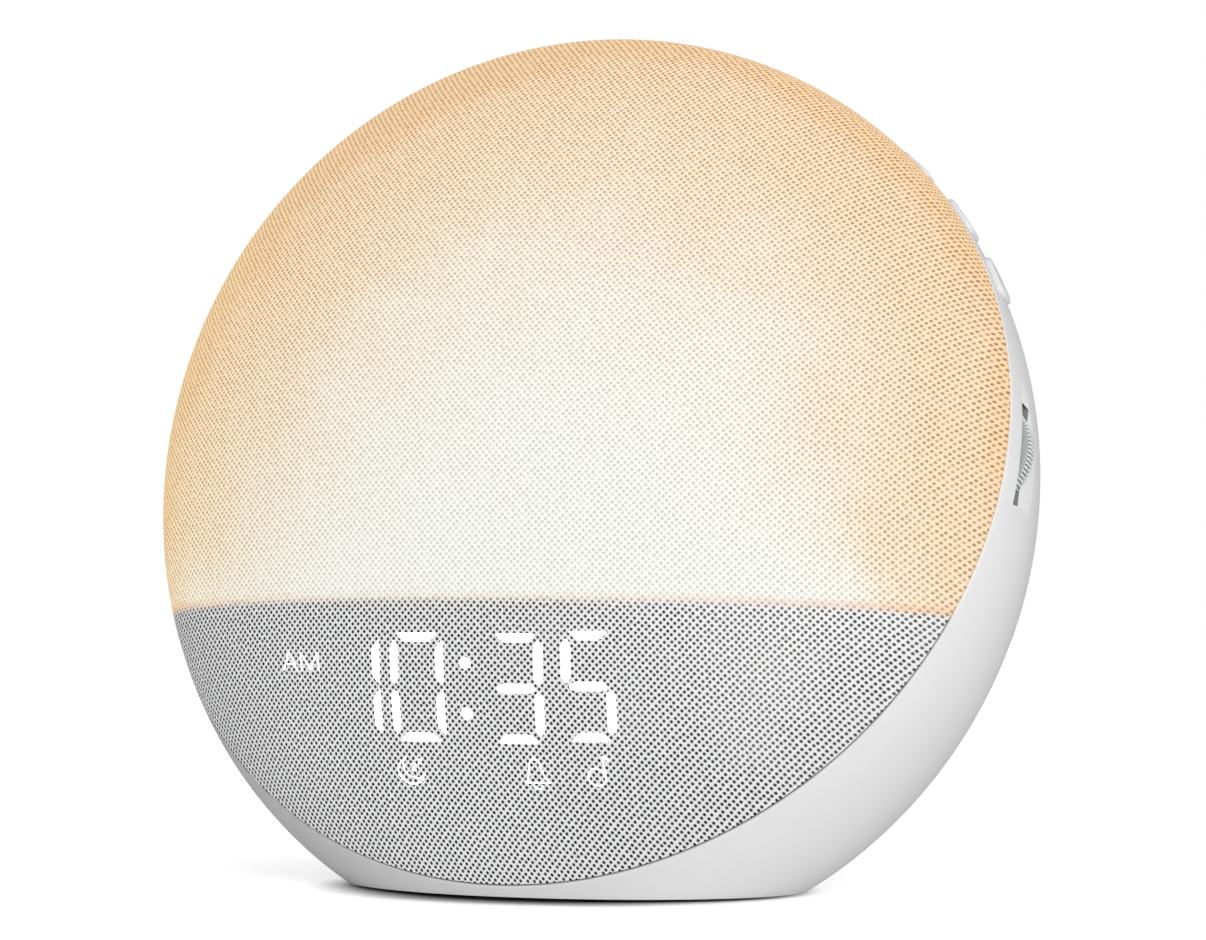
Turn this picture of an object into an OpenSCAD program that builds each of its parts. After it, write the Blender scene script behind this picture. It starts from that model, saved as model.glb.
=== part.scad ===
// Sunrise alarm clock: an oval lamp body that leans back on a flat base.
// The front is a fabric-covered dome, lit above a horizon line and dark below it, with a
// time display behind the dark part. The rear is a moulded shell with a speaker, a low
// voltage inlet, three keys and one thumbwheel on each side.
// Origin: centre of the resting face. +Z up, -Y towards the person reading the clock.

/* [Body] */
// Width across the body at its widest
body_w = 165; // [158:1:176]
// Depth of the body along its own leaning axis
body_d = 109; // [104:1:118]
// Angle that the body leans back from upright
lean = 8.5; // [6:0.5:11]
// Width of the housing's opening at its base
base_w = 86.2; // [84:0.1:88]
// Wall of the rear housing
wall = 2.6; // [2.2:0.1:3]

/* [Seam] */
// Angle that the seam between dome and housing leans back
seam_tilt = 21; // [19:0.5:23]
// Distance of the seam in front of the body's centre
seam_off = 9.5; // [8.5:0.5:11]
// Width of the open line between fabric and housing
seam_gap = 0.3; // [0.2:0.05:0.5]

/* [Front dome] */
// Thickness of the woven cover
fabric_t = 0.8; // [0.6:0.1:1]
// Thickness of the two dome mouldings under the cover
dome_t = 2; // [1.6:0.1:2.4]
// Reach of the domes' inner flange from the outside
flange_w = 9; // [8.5:0.5:10]
// Distance of the horizon line below the body's centre
horizon_drop = 23.8; // [22.5:0.1:24.5]
// Rise of the horizon plane towards the front, in degrees
horizon_tilt = 4.5; // [3:0.5:5]
// Thickness of the shelf that keeps the lamp light out of the display
baffle_t = 1.6; // [1.2:0.1:2]
// Thickness of the front frame plate
frame_t = 2.4; // [2:0.1:2.6]

/* [Lamp] */
// Thickness of the white reflector tray
tray_t = 1.2; // [1:0.1:1.5]
// Depth of the reflector tray's wall
tray_h = 9; // [7:0.5:11]
// Width of the lamp board
lamp_w = 96; // [90:1:104]
// Height of the lamp board
lamp_h = 29; // [27:1:31]
// Thickness of the lamp board
lamp_t = 1.6; // [1.2:0.1:2]
// Side of one square lamp
led_s = 5; // [4:0.1:5.5]
// Lamps in a row
led_cols = 8; // [6:1:8]
// Rows of lamps
led_rows = 3; // [2:1:3]

/* [Display] */
// Height of a digit between its top and bottom bars' centres
digit_h = 16.6; // [15:0.2:17]
// Width of a digit between its upright bars' centres
digit_w = 8.3; // [7.6:0.1:8.6]
// Distance between neighbouring digits
digit_pitch = 12.2; // [11.6:0.1:12.6]
// Width of a bar
bar_w = 1.5; // [1.2:0.1:1.7]
// Slant of the digits
digit_slant = 4; // [0:1:6]
// Distance of the digits' middle below the body's centre
digit_drop = 34.3; // [33.5:0.1:35]
// Distance of the small symbols below the body's centre
icon_drop = 48.3; // [47.5:0.1:49]
// Size of a small symbol's light window
icon_s = 4.6; // [4:0.1:5]
// Gap between the display board and the domes' flange
disp_gap = 0.5; // [0.4:0.1:1]
// Thickness of the display board
disp_t = 1.2; // [1:0.1:1.6]

/* [Keys] */
// Number of keys on each side
key_n = 3; // [2:1:3]
// Angle of the middle key from the top, around the seam's axis
key_mid = 53.5; // [52.5:0.1:54.5]
// Angle between neighbouring keys
key_pitch = 10; // [9.6:0.1:10.4]
// Length of a key's face along the body's edge
key_l = 8.6; // [8:0.1:9]
// Width of a key's face across the edge
key_w = 6.4; // [6:0.1:6.8]
// Distance of the keys' centre line behind the seam
key_back = 6; // [5.8:0.1:6.2]
// Height of the keys over the housing
key_proud = 0.8; // [0.6:0.1:1]
// Gap around a key in its window
key_gap = 0.2; // [0.15:0.05:0.25]
// Travel of a key
key_travel = 0.6; // [0.4:0.1:0.8]
// Distance from the housing's inner wall to the key strip
key_drop = 9; // [8.5:0.1:9.5]

/* [Thumbwheels] */
// Radius over the ribs of a thumbwheel
wheel_r = 10.9; // [10.4:0.1:11.4]
// Thickness of a thumbwheel
wheel_t = 2.8; // [2.4:0.1:3]
// Height of the wheel's rim over the body's outline
wheel_proud = 1.3; // [1:0.1:1.6]
// Height of the wheel's axle over the body's centre, along the seam
wheel_s = 3.9; // [3:0.1:5]
// Ribs around a thumbwheel
wheel_ribs = 60; // [48:1:66]
// Depth of the grooves between the ribs
rib_depth = 0.4; // [0.3:0.05:0.5]
// Diameter of the wheel's shaft
shaft_d = 3; // [2.6:0.1:3.4]
// Clearance of the shaft in its encoder, per side
shaft_fit = 0.05; // [0.03:0.01:0.08]
// Distance of the scoop's front wall behind the seam
scoop_back = 4.1; // [4:0.1:4.4]
// Depth of the scoop at its front wall
scoop_depth = 1.6; // [1.2:0.1:1.7]
// Slope of the scoop's floor
scoop_slope = 13; // [11:0.5:15]
// Length of the scoop
scoop_l = 25.2; // [24:0.2:27]
// Centre of the scoop above the body's centre, along the seam
scoop_s = 6.5; // [5.5:0.1:7.5]
// Play beside and beyond the wheel in its slot
slot_gap = 0.4; // [0.3:0.05:0.5]

/* [Speaker] */
// Outer diameter of the speaker's basket
speaker_d = 56; // [54:1:58]
// Depth of the speaker from its seat to its yoke
speaker_depth = 25; // [24:0.5:27]
// Height of the speaker's axis over the body's centre
speaker_v = 8; // [6:0.5:10]
// Room between the speaker's edge and the shell's inner wall
speaker_play = 1; // [0.8:0.1:1.5]
// Magnet diameter
magnet_d = 32; // [30:1:34]
// Voice coil diameter
coil_d = 15; // [14:0.5:16]
// Diameter of a sound hole
hole_d = 2; // [1.6:0.1:2.2]
// Distance between sound holes
hole_pitch = 4; // [3.6:0.1:4.4]

/* [Base and inlet] */
// Height of the rubber foot below the base plate and the housing's edge
foot_h = 0.5; // [0.4:0.05:0.6]
// Thickness of the base plate, whose underside is flush with the housing's edge
plate_t = 4; // [3.6:0.2:4.6]
// Depth of the rubber foot's groove
foot_groove = 0.8; // [0.6:0.1:1]
// Distance of the inlet below the body's centre
inlet_drop = 46; // [44:0.5:47]
// Bore of the power inlet
inlet_bore = 5.6; // [5.5:0.05:5.8]
// Diameter of the inlet's threaded neck
inlet_neck = 8; // [7.8:0.1:8.4]
// Diameter of the pocket around the inlet
inlet_pocket = 14; // [13.5:0.5:15]
// Diameter of the inlet's pin
pin_d = 2; // [1.8:0.1:2.2]

/* [Boards and screws] */
// Width of the main board
main_w = 74; // [70:1:76]
// Height of the main board
main_h = 40; // [36:1:42]
// Thickness of the main board
main_t = 1.6; // [1.2:0.1:2]
// Height of the main board's standoffs
standoff_h = 6; // [5:0.5:7]
// Diameter of the case screws
case_screw_d = 3; // [2.6:0.1:3.4]
// Diameter of the small screws
small_screw_d = 2.2; // [2:0.1:2.4]
// Diameter of the coin cell
cell_d = 20; // [19.5:0.5:20.5]
// Height of the coin cell
cell_h = 3.2; // [3:0.1:3.4]
// Diameter of the inner wires
wire_d = 1.4; // [1.2:0.1:1.6]

/* [Hidden] */
$fn = 64;

// The body: an oval of revolution about an axis that leans back
body_r = body_w / 2;
body_b = body_d / 2;
tilt = seam_tilt - lean;
span = 2 * body_w;
profile_steps = 20;
arc_steps = 12;
fit = 0.15;

// Places along the seam's own axis, which points forward and up
dome_back = seam_off + seam_gap / 2;
lip_m = seam_off - seam_gap / 2;
frame_back = dome_back - frame_t;
flange_back = dome_back + fabric_t;
flange_front = flange_back + dome_t;

// Heights over the resting face
cut_z = foot_h;
plug_top = foot_h + plate_t;
centre_h = cut_z + half_height(0) * sqrt(1 - pow(base_w / body_w, 2));
boss_h = 10;
rib_l = 15;
rib_t = 4;
rib_h = 8;

// Small parts that repeat
case_head_d = 2 * case_screw_d;
small_head_d = 2 * small_screw_d;
small_head_h = 1.4;
screw_play = 0.1;
small_hole_d = small_screw_d + 2 * screw_play;
post_d = 8;
shell_post_d = 10;
post_x = 46;
post_s = [26, -30];
post_m = -8;
post_web = 3;

// Keys: outer face, inner flange and stem
key_m = seam_off - key_back;
key_corner = 2.2;
key_flange_t = 1.2;
key_flange_l = 0.8;
key_flange_w = 0.35;
cap_in = wall + fit + key_flange_t;
stem_d = 2.4;
strip_t = 0.4;
switch_s = 5;
switch_h = 3.5;
switch_bore = 3.2;
stem_in = 0.8;
switch_bore_h = stem_in + key_travel + 1.2;
strip_edge = 1;
key_bracket_t = 2.4;
key_margin = 5;
key_r = oval_r(key_mid, key_m, wall) - key_drop;
key_first = key_angle(0) - key_margin;
key_last = key_angle(key_n - 1) + key_margin;
key_foot_a = 6;
foot_t = 2;
foot_l = 6;

// Thumbwheels
scoop_m = seam_off - scoop_back;
wheel_front = scoop_m - slot_gap;
wheel_back = wheel_front - wheel_t;
wheel_x = oval_x(wheel_s, wheel_front - wheel_t / 2, 0) + wheel_proud - wheel_r;
wheel_edge = 0.35;
hub_d = 8;
slot_in = oval_x(wheel_s, wheel_back, wall) - wheel_x - 1;
slot_half = sqrt(wheel_r * wheel_r - slot_in * slot_in) + slot_gap;
encoder_s = 10;
encoder_h = 5.5;
encoder_front = wheel_back - 0.6;
encoder_back = encoder_front - encoder_h;
bush_d = 6;
wheel_plate_t = 1.6;
leg_t = 2;
leg_x = wheel_x - wheel_r - 0.8 - leg_t;
bracket_w = 12;

// Speaker, in the body's own frame: w runs forward along the body's axis
seat_w = (wall - body_b) * sqrt(1 - pow((speaker_v + speaker_d / 2 + speaker_play) / (body_r - wall), 2));
gasket_t = 1;
basket_t = 1.2;
seat_wall = 4;
surround_w = 3.6;
surround_t = 0.5;
surround_lip = 1.8;
basket_in = speaker_d - 12;
gasket_in = basket_in + 4;
cone_d = basket_in - 2 * surround_w;
cone_lip = 1.2;
flange_w0 = seat_w + gasket_t;
flange_w1 = flange_w0 + basket_t;
yoke_t = 3;
magnet_t = 8;
yoke_w1 = seat_w + speaker_depth;
magnet_w1 = yoke_w1 - yoke_t;
magnet_w0 = magnet_w1 - magnet_t;
plate_w0 = magnet_w0 - basket_t;
plate_d = magnet_d + 6;
pole_gap = 0.8;
coil_t = 0.4;
coil_r = coil_d / 2 + coil_t;
cone_t = 0.6;
neck_w = plate_w0 - 6;
spider_d = plate_d + 2;
spider_w = neck_w + 2;
spider_t = 0.4;
shelf_w = 2;
cap_r = 10;
cap_curve = 19;
cap_t = 0.4;
sound_r = basket_in / 2 - 3;

// Power inlet
inlet_z = centre_h - inlet_drop;
inlet_y = oval_y(0, -inlet_drop - inlet_pocket / 2, 1, 0) - 1.5;
inlet_wall = 3;
inlet_body_d = 11;
inlet_body_l = 13;
inlet_out = 5;
inlet_depth = 10;
nut_flat = 10;
nut_t = 2;

// Place along the seam where the horizon plane meets the front frame, for a height z over that plane
function horizon_s(z) =
    (z - horizon_drop - dome_back * sin(seam_tilt - horizon_tilt)) / cos(seam_tilt - horizon_tilt);

// Horizon shelf's foot, lamp board and their screws
baffle_foot = 8;
baffle_foot_w = 60;
baffle_screw_s = horizon_s(-baffle_foot / 2 - 0.5);
lamp_s = horizon_s(8) + lamp_h / 2;
lamp_m = dome_back + tray_t;
lamp_corner = 3.5;
lead_x = 36;
lead_hole = 6;

// Display: x to the right, z up from the body's centre
colon_x = 2.5;
colon_gap = 9.15;
digit_x = [colon_x - colon_gap - digit_pitch, colon_x - colon_gap, colon_x + colon_gap,
           colon_x + colon_gap + digit_pitch];
dot_d = 2;
legend = [-30.9, digit_h / 4 - digit_drop];
legend_w = 8.8;
legend_h = 3.8;
icons = [for (x = [-10.2, 12.9, 23.4]) [x, -icon_drop]];
uprights = [
    for (k = [0 : 3], side = [-1, 1], half = [-1, 1])
        if (k > 0 || side > 0) [digit_x[k] + side * digit_w / 2, half * digit_h / 4 - digit_drop]
];
levels = [for (k = [1 : 3], j = [-1 : 1]) [digit_x[k], j * digit_h / 2 - digit_drop]];
dots = [for (half = [-1, 1]) [colon_x, half * digit_h / 4 - digit_drop]];
bar_gap = 0.55;
chip_w = 0.8;
chip_l = 1.6;
block_wall = 1.3;
block_x0 = legend.x - legend_w / 2 - block_wall - 1;
block_x1 = digit_x[3] + digit_w / 2 + bar_w + block_wall + 1.5;
block_z1 = -digit_drop + digit_h / 2 + bar_w / 2 + block_wall;
block_z0 = -icon_drop - icon_s / 2 - block_wall;
block_h = digit_h + bar_w + 2 * block_wall;
icons_x0 = icons[0].x - icon_s / 2 - block_wall;
icons_x1 = icons[2].x + icon_s / 2 + block_wall;
dome_in = fabric_t + dome_t;
disp_y = (block_z0 * sin(seam_tilt) - flange_front - disp_gap) / cos(seam_tilt) - disp_t;
block_d = disp_y - oval_y(0, -digit_drop, -1, dome_in);
ear_w = 6.4;
ear_z = [digit_h / 2 - 1 - digit_drop, -1 - digit_drop];
lamp_cell = 1.2;
led_h = 0.7;
disp_screw_l = disp_t + 4.5;

// Main board
main_s = -34;
main_corner = 3.5;
main_front = frame_back - standoff_h;
main_back = main_front - main_t;
plug_h = 4;
plug_w = 6;
plug_edge = 4;
plug_in = 5;
plug_x = [for (i = [-2 : 2]) i * (main_w / 4 - plug_in)];

// Chips on the back of the main board: place from the board's left edge and middle, size and height
board_x = -main_w / 2;
chips = [[29, -4, 10, 10, 1.2], [14, -6, 14, 11, 2.4], [29, 6, 5, 5, 1], [40, -13, 6, 8, 1.5]];
capacitors = [[7, 6], [15, 6], [22, -14]];
capacitor_d = 6;
capacitor_h = 7;
cell_x = 18;
cell_s = main_s - 5;
holder_wall = 1;
holder_floor = 1.5;

// Leads and ribbon inside
bend_out = 6;
bend_m = main_back - plug_h - bend_out;
side_join = [wheel_x - 16, wheel_s - 16, bend_m];
ribbon_s = main_s - 12;
ribbon_m = dome_back + 1.5;
ribbon_w = 12;
ribbon_t = 0.4;
ribbon_z = ribbon_s * cos(seam_tilt) + ribbon_m * sin(seam_tilt);
ribbon_y = ribbon_s * sin(seam_tilt) - ribbon_m * cos(seam_tilt);

// Distance of the body's side from the middle plane at a place (s, m) of the seam's frame
function oval_x(s, m, inset) =
    let (r = body_r - inset, b = body_b - inset,
         v = s * cos(tilt) + m * sin(tilt), w = m * cos(tilt) - s * sin(tilt))
    r * sqrt(1 - v * v / (r * r) - w * w / (b * b));

// Distance of the body's edge from the seam's axis, at an angle from the top
function oval_r(angle, m, inset) =
    let (r = body_r - inset, b = body_b - inset, c = cos(angle),
         p = (pow(sin(angle), 2) + pow(c * cos(tilt), 2)) / (r * r) + pow(c * sin(tilt) / b, 2),
         q = 2 * m * sin(tilt) * cos(tilt) * c * (1 / (r * r) - 1 / (b * b)),
         k = m * m * (pow(sin(tilt) / r, 2) + pow(cos(tilt) / b, 2)) - 1)
    (-q + sqrt(q * q - 4 * p * k)) / (2 * p);

// Depth of the body's surface at x and a height z from its centre; side -1 is the front
function oval_y(x, z, side, inset) =
    let (r = body_r - inset, b = body_b - inset,
         p = pow(sin(lean) / r, 2) + pow(cos(lean) / b, 2),
         q = 2 * z * sin(lean) * cos(lean) * (1 / (r * r) - 1 / (b * b)),
         k = x * x / (r * r) + z * z * (pow(cos(lean) / r, 2) + pow(sin(lean) / b, 2)) - 1)
    (-q + side * sqrt(q * q - 4 * p * k)) / (2 * p);

// The body cut level at height z: half width, half depth and the middle's place along Y
function level_cut(z, inset) =
    let (r = body_r - inset, b = body_b - inset, h = z - centre_h,
         top = half_height(inset), k = sqrt(1 - pow(h / top, 2)))
    [r * k, r * b / top * k, (r * r - b * b) * sin(lean) * cos(lean) * h / pow(top, 2)];

// Height of the body's highest point over its centre
function half_height(inset) = norm([(body_r - inset) * cos(lean), (body_b - inset) * sin(lean)]);

function key_angle(i) = key_mid + (i - (key_n - 1) / 2) * key_pitch;
function body_point(p) = [p.x, p.y * cos(tilt) - p.z * sin(tilt), p.y * sin(tilt) + p.z * cos(tilt)];
function world_point(p) =
    let (h = p.z - centre_h)
    [p.x, p.y * sin(seam_tilt) + h * cos(seam_tilt), h * sin(seam_tilt) - p.y * cos(seam_tilt)];
function slant(p) = [p.x + tan(digit_slant) * (p.y + digit_drop), p.y];
function plug_place(i) = [plug_x[i], main_s + main_h / 2 - plug_edge, main_back - plug_h];

// ---- frames and helpers ----

module in_seam() {
    translate([0, 0, centre_h]) rotate([90 - seam_tilt, 0, 0]) children();
}

module in_body() {
    translate([0, 0, centre_h]) rotate([90 - lean, 0, 0]) children();
}

module in_horizon() {
    translate([0, 0, centre_h]) rotate([-horizon_tilt, 0, 0]) translate([0, 0, -horizon_drop]) children();
}

// Extrudes a drawing of x and z forward from depth y
module in_display(y, h) {
    translate([0, y, centre_h]) rotate([90, 0, 0]) linear_extrude(h) children();
}

// A key's frame: y points straight out of the body at the key
module at_key(i) {
    in_seam() rotate([0, 0, -key_angle(i)]) translate([0, 0, key_m]) children();
}

module oval(inset) {
    in_body() rotate_extrude($fn = 128) polygon([
        for (i = [-profile_steps : profile_steps]) let (a = 90 * i / profile_steps)
            [(body_r - inset) * cos(a), (body_b - inset) * sin(a)]
    ]);
}

module shell(outer, inner) {
    difference() {
        oval(outer);
        oval(inner);
    }
}

module seam_slab(m0, m1) {
    in_seam() translate([-span / 2, -span / 2, m0]) cube([span, span, m1 - m0]);
}

module horizon_slab(z0, z1) {
    in_horizon() translate([-span / 2, -span / 2, z0]) cube([span, span, z1 - z0]);
}

module above(z) {
    translate([-span / 2, -span / 2, z]) cube([span, span, span]);
}

module rounded(w, l, r) {
    square([w - 2 * r, l], center = true);
    square([w, l - 2 * r], center = true);
    for (x = [-1, 1], y = [-1, 1]) translate([x * (w / 2 - r), y * (l / 2 - r)]) circle(r);
}

module tube(outer_d, inner_d, h) {
    difference() {
        cylinder(d = outer_d, h = h);
        translate([0, 0, -1]) cylinder(d = inner_d, h = h + 2);
    }
}

module both_sides() {
    children();
    mirror([1, 0, 0]) children();
}

module level_oval(z, inset, margin, h) {
    e = level_cut(z, inset);
    linear_extrude(h) polygon([
        for (i = [0 : 71]) [(e[0] - margin) * cos(5 * i), e[2] + (e[1] - margin) * sin(5 * i)]
    ]);
}

// A screw with its head's seat at the origin, pointing along +z
module screw(d, head_d, head_h, l) {
    translate([0, 0, -head_h]) cylinder(d = head_d, h = head_h);
    cylinder(d = d, h = l);
}

// A straight piece of wire that reaches past its two ends by the lengths before and after
module rod(a, b, d, before, after) {
    v = b - a;
    translate(a) rotate([0, acos(v.z / norm(v)), atan2(v.y, v.x)]) translate([0, 0, -before])
        cylinder(d = d, h = norm(v) + before + after, $fn = 12);
}

// A wire through points of the seam's frame
module wire(points, d) {
    last = len(points) - 2;
    for (i = [0 : last]) rod(points[i], points[i + 1], d, i > 0 ? d / 4 : 0, i < last ? d / 4 : 0);
}

// Part of a ring around the seam's axis, between two angles from the top
module arc_wall(r0, r1, m0, m1, a0, a1) {
    step = (a1 - a0) / arc_steps;
    in_seam() translate([0, 0, m0]) linear_extrude(m1 - m0) polygon(concat(
        [for (i = [0 : arc_steps]) r0 * [sin(a0 + i * step), cos(a0 + i * step)]],
        [for (i = [arc_steps : -1 : 0]) r1 * [sin(a0 + i * step), cos(a0 + i * step)]]
    ));
}

// ---- rear housing and base ----

module at_posts() {
    for (s = post_s) translate([post_x, s, 0]) children();
}

module at_base_screws() {
    e = level_cut(cut_z, wall);
    for (a = [35, 145, 215, 325]) translate([(e[0] - 5) * cos(a), e[2] + (e[1] - 5) * sin(a), 0])
        rotate([0, 0, a]) children();
}

module sound_holes() {
    n = ceil(sound_r / hole_pitch) + 1;
    in_body() for (i = [-n : n], j = [-n : n]) {
        x = hole_pitch * (i + (abs(j) % 2) / 2);
        y = hole_pitch * sin(60) * j;
        if (norm([x, y]) < sound_r)
            translate([x, speaker_v + y, -body_b - 2]) cylinder(d = hole_d, h = seat_w + body_b, $fn = 24);
    }
}

module key_prism(grow, depth) {
    outer = oval_r(key_mid, key_m, 0);
    translate([0, outer - depth, 0]) rotate([-90, 0, 0]) linear_extrude(2 * depth)
        rounded(key_l + 2 * grow, key_w + 2 * grow, key_corner + grow);
}

module scoop() {
    floor_x = oval_x(wheel_s, scoop_m, 0) - scoop_depth;
    intersection() {
        in_seam() translate([floor_x, scoop_s - scoop_l / 2, scoop_m]) rotate([0, -scoop_slope, 0])
            translate([0, 0, -body_b]) cube([body_b, scoop_l, body_b + wall]);
        seam_slab(-span, scoop_m);
    }
}

module wheel_slot() {
    in_seam() translate([wheel_x, wheel_s - slot_half, wheel_back - slot_gap])
        cube([body_r, 2 * slot_half, scoop_m - wheel_back + slot_gap]);
}

module rear_housing() color("gainsboro") difference() {
    intersection() {
        union() {
            shell(0, wall);
            intersection() {
                oval(wall / 2);
                housing_bosses();
            }
        }
        seam_slab(-span, lip_m);
        above(cut_z);
    }
    both_sides() {
        scoop();
        wheel_slot();
        for (i = [0 : key_n - 1]) at_key(i) key_prism(key_gap, key_drop);
        in_seam() at_posts() {
            translate([0, 0, -span]) cylinder(d = case_screw_d + 0.4, h = 2 * span);
            translate([0, 0, -span]) cylinder(d = case_head_d + 1, h = span + post_m - post_web);
        }
    }
    at_base_screws() cylinder(d = small_screw_d, h = plug_top + boss_h);
    sound_holes();
    in_body() translate([0, speaker_v, seat_w]) speaker_screw_places()
        translate([0, 0, -4]) cylinder(d = small_screw_d, h = 5);
    translate([0, inlet_y, inlet_z]) rotate([-90, 0, 0]) cylinder(d = inlet_pocket, h = span);
    translate([0, 0, inlet_z]) rotate([-90, 0, 0]) cylinder(d = inlet_neck + 2 * screw_play, h = span);
}

// Posts, seats and bosses inside the shell
module housing_bosses() {
    in_body() translate([0, speaker_v, seat_w - body_b])
        tube(speaker_d + seat_wall, basket_in, body_b);
    both_sides() in_seam() at_posts()
        translate([0, 0, -span]) cylinder(d = shell_post_d, h = span + post_m);
    translate([0, inlet_y - inlet_wall, inlet_z]) rotate([-90, 0, 0])
        cylinder(d = inlet_pocket + 4, h = span);
    at_base_screws() translate([0, 0, plug_top]) {
        cylinder(d = 3 * small_screw_d, h = boss_h);
        translate([0, -rib_t / 2, 0]) cube([rib_l, rib_t, rib_h]);
    }
}

module base_plate() color("whitesmoke") difference() {
    translate([0, 0, foot_h]) level_oval(cut_z, wall, 2 * fit, plate_t);
    foot_ring(foot_h + foot_groove);
    at_base_screws() {
        cylinder(d = small_hole_d, h = plug_top + 1);
        cylinder(d = small_head_d + 2 * screw_play, h = foot_h + foot_groove + small_head_h + screw_play);
    }
}

// The foot's ring, from the resting face up to height h
module foot_ring(h) {
    difference() {
        level_oval(cut_z, wall, 1.5, h);
        translate([0, 0, -1]) level_oval(cut_z, wall, 8.5, h + 2);
    }
}

module rubber_foot() color("lightgray") foot_ring(foot_h + foot_groove);

module base_screws() color("silver")
    at_base_screws() translate([0, 0, foot_h + foot_groove + small_head_h])
        screw(small_screw_d, small_head_d, small_head_h, plate_t - foot_groove + 4);

module case_screws() color("silver")
    both_sides() in_seam() at_posts() translate([0, 0, post_m - post_web])
        screw(case_screw_d, case_head_d, 2, frame_back - post_m + post_web - 4);

// ---- front frame, domes and cover ----

module at_dome_screws() {
    for (a = [22, 98, 125, 158]) {
        r = oval_r(a, dome_back, flange_w - 2.8);
        translate([r * sin(a), r * cos(a), 0]) children();
    }
}

module front_frame() color("slategray") difference() {
    union() {
        intersection() {
            oval(wall + fit);
            seam_slab(frame_back, dome_back);
            above(plug_top + fit);
        }
        both_sides() in_seam() at_posts() translate([0, 0, post_m])
            cylinder(d = post_d, h = frame_back - post_m);
        in_seam() at_main_screws() translate([0, 0, main_front]) cylinder(d = 5, h = standoff_h);
        display_posts();
    }
    both_sides() in_seam() {
        at_posts() translate([0, 0, post_m - 1]) cylinder(d = case_screw_d, h = frame_back - post_m - 2);
        at_dome_screws() translate([0, 0, frame_back - 1]) cylinder(d = small_hole_d, h = frame_t + 2);
        bracket_screw_places() translate([0, 0, frame_back - 1]) cylinder(d = small_screw_d, h = frame_t);
    }
    in_seam() {
        at_main_screws() translate([0, 0, main_front - 1]) cylinder(d = small_screw_d, h = standoff_h);
        at_front_screws() translate([0, 0, frame_back]) cylinder(d = small_screw_d, h = frame_t + 1);
        translate([0, ribbon_s, frame_back - 1]) linear_extrude(frame_t + 2)
            square([ribbon_w + 3, 3], center = true);
        translate([lead_x, lamp_s, frame_back - 1]) cylinder(d = lead_hole, h = frame_t + 2);
    }
    at_display_screws(disp_y) translate([0, 0, -1]) cylinder(d = small_screw_d, h = disp_screw_l + 1.5);
}

module display_posts() {
    for (x = [block_x0 - ear_w / 2, block_x1 + ear_w / 2], z = ear_z) {
        back = (z * sin(seam_tilt) - frame_back - frame_t / 2) / cos(seam_tilt);
        in_display(back, back - disp_y - disp_t) translate([x, z]) circle(d = 5);
    }
}

module at_display_screws(y) {
    for (x = [block_x0 - ear_w / 2, block_x1 + ear_w / 2], z = ear_z)
        translate([x, y, centre_h + z]) rotate([-90, 0, 0]) children();
}

module fabric_cover() color("wheat") difference() {
    union() {
        intersection() {
            shell(0, fabric_t);
            seam_slab(dome_back, span);
        }
        intersection() {
            shell(fabric_t / 2, flange_w);
            seam_slab(dome_back, flange_back);
        }
    }
    both_sides() in_seam() at_dome_screws()
        translate([0, 0, dome_back - 1]) cylinder(d = small_hole_d, h = fabric_t + 2);
}

// One of the two mouldings under the cover, before it is cut at the horizon
module dome_moulding() {
    difference() {
        union() {
            intersection() {
                shell(fabric_t, dome_in);
                seam_slab(flange_back, span);
            }
            intersection() {
                shell(fabric_t + dome_t / 2, flange_w);
                seam_slab(flange_back, flange_front);
            }
        }
        both_sides() in_seam() at_dome_screws()
            translate([0, 0, flange_back - 1]) cylinder(d = small_screw_d, h = dome_t + 2);
    }
}

module light_diffuser() color("ivory") intersection() {
    dome_moulding();
    horizon_slab(baffle_t / 2, span);
}

module display_window() color("dimgray") intersection() {
    dome_moulding();
    horizon_slab(-span, -baffle_t / 2);
}

module dome_screws() color("silver")
    both_sides() in_seam() at_dome_screws() translate([0, 0, frame_back])
        screw(small_screw_d, small_head_d, small_head_h, frame_t + fabric_t + dome_t - 0.2);

module horizon_baffle() color("white") difference() {
    union() {
        intersection() {
            oval(fabric_t);
            horizon_slab(-baffle_t / 2, baffle_t / 2);
            seam_slab(flange_back, span);
        }
        intersection() {
            oval(flange_w + fit);
            horizon_slab(-baffle_foot, baffle_t / 2);
            seam_slab(dome_back, dome_back + baffle_t);
            translate([-baffle_foot_w / 2, -span / 2, 0]) cube([baffle_foot_w, span, span]);
        }
    }
    in_seam() at_baffle_screws() translate([0, 0, dome_back - 1])
        cylinder(d = small_hole_d, h = baffle_t + 2);
}

module at_baffle_screws() {
    for (x = [-baffle_foot_w / 2 + 5, baffle_foot_w / 2 - 5]) translate([x, baffle_screw_s, 0]) children();
}

// ---- lamp ----

module at_lamp_screws() {
    for (x = [-1, 1], y = [-1, 1])
        translate([x * (lamp_w / 2 - lamp_corner), lamp_s + y * (lamp_h / 2 - lamp_corner), 0]) children();
}

module at_front_screws() {
    at_lamp_screws() children();
    at_baffle_screws() children();
}

module reflector_tray() color("white") difference() {
    intersection() {
        union() {
            intersection() {
                oval(flange_w + fit);
                seam_slab(dome_back, lamp_m);
            }
            intersection() {
                shell(flange_w + fit, flange_w + fit + tray_t);
                seam_slab(dome_back, dome_back + tray_h);
            }
        }
        horizon_slab(baffle_t / 2, span);
    }
    in_seam() {
        at_lamp_screws() translate([0, 0, dome_back - 1]) cylinder(d = small_hole_d, h = tray_t + 2);
        translate([lead_x, lamp_s, dome_back - 1]) cylinder(d = lead_hole, h = tray_t + 2);
    }
}

module lamp_board() color("white") in_seam() difference() {
    translate([0, lamp_s, lamp_m]) linear_extrude(lamp_t) rounded(lamp_w, lamp_h, lamp_corner - 1);
    at_lamp_screws() translate([0, 0, lamp_m - 1]) cylinder(d = small_hole_d, h = lamp_t + 2);
}

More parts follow.
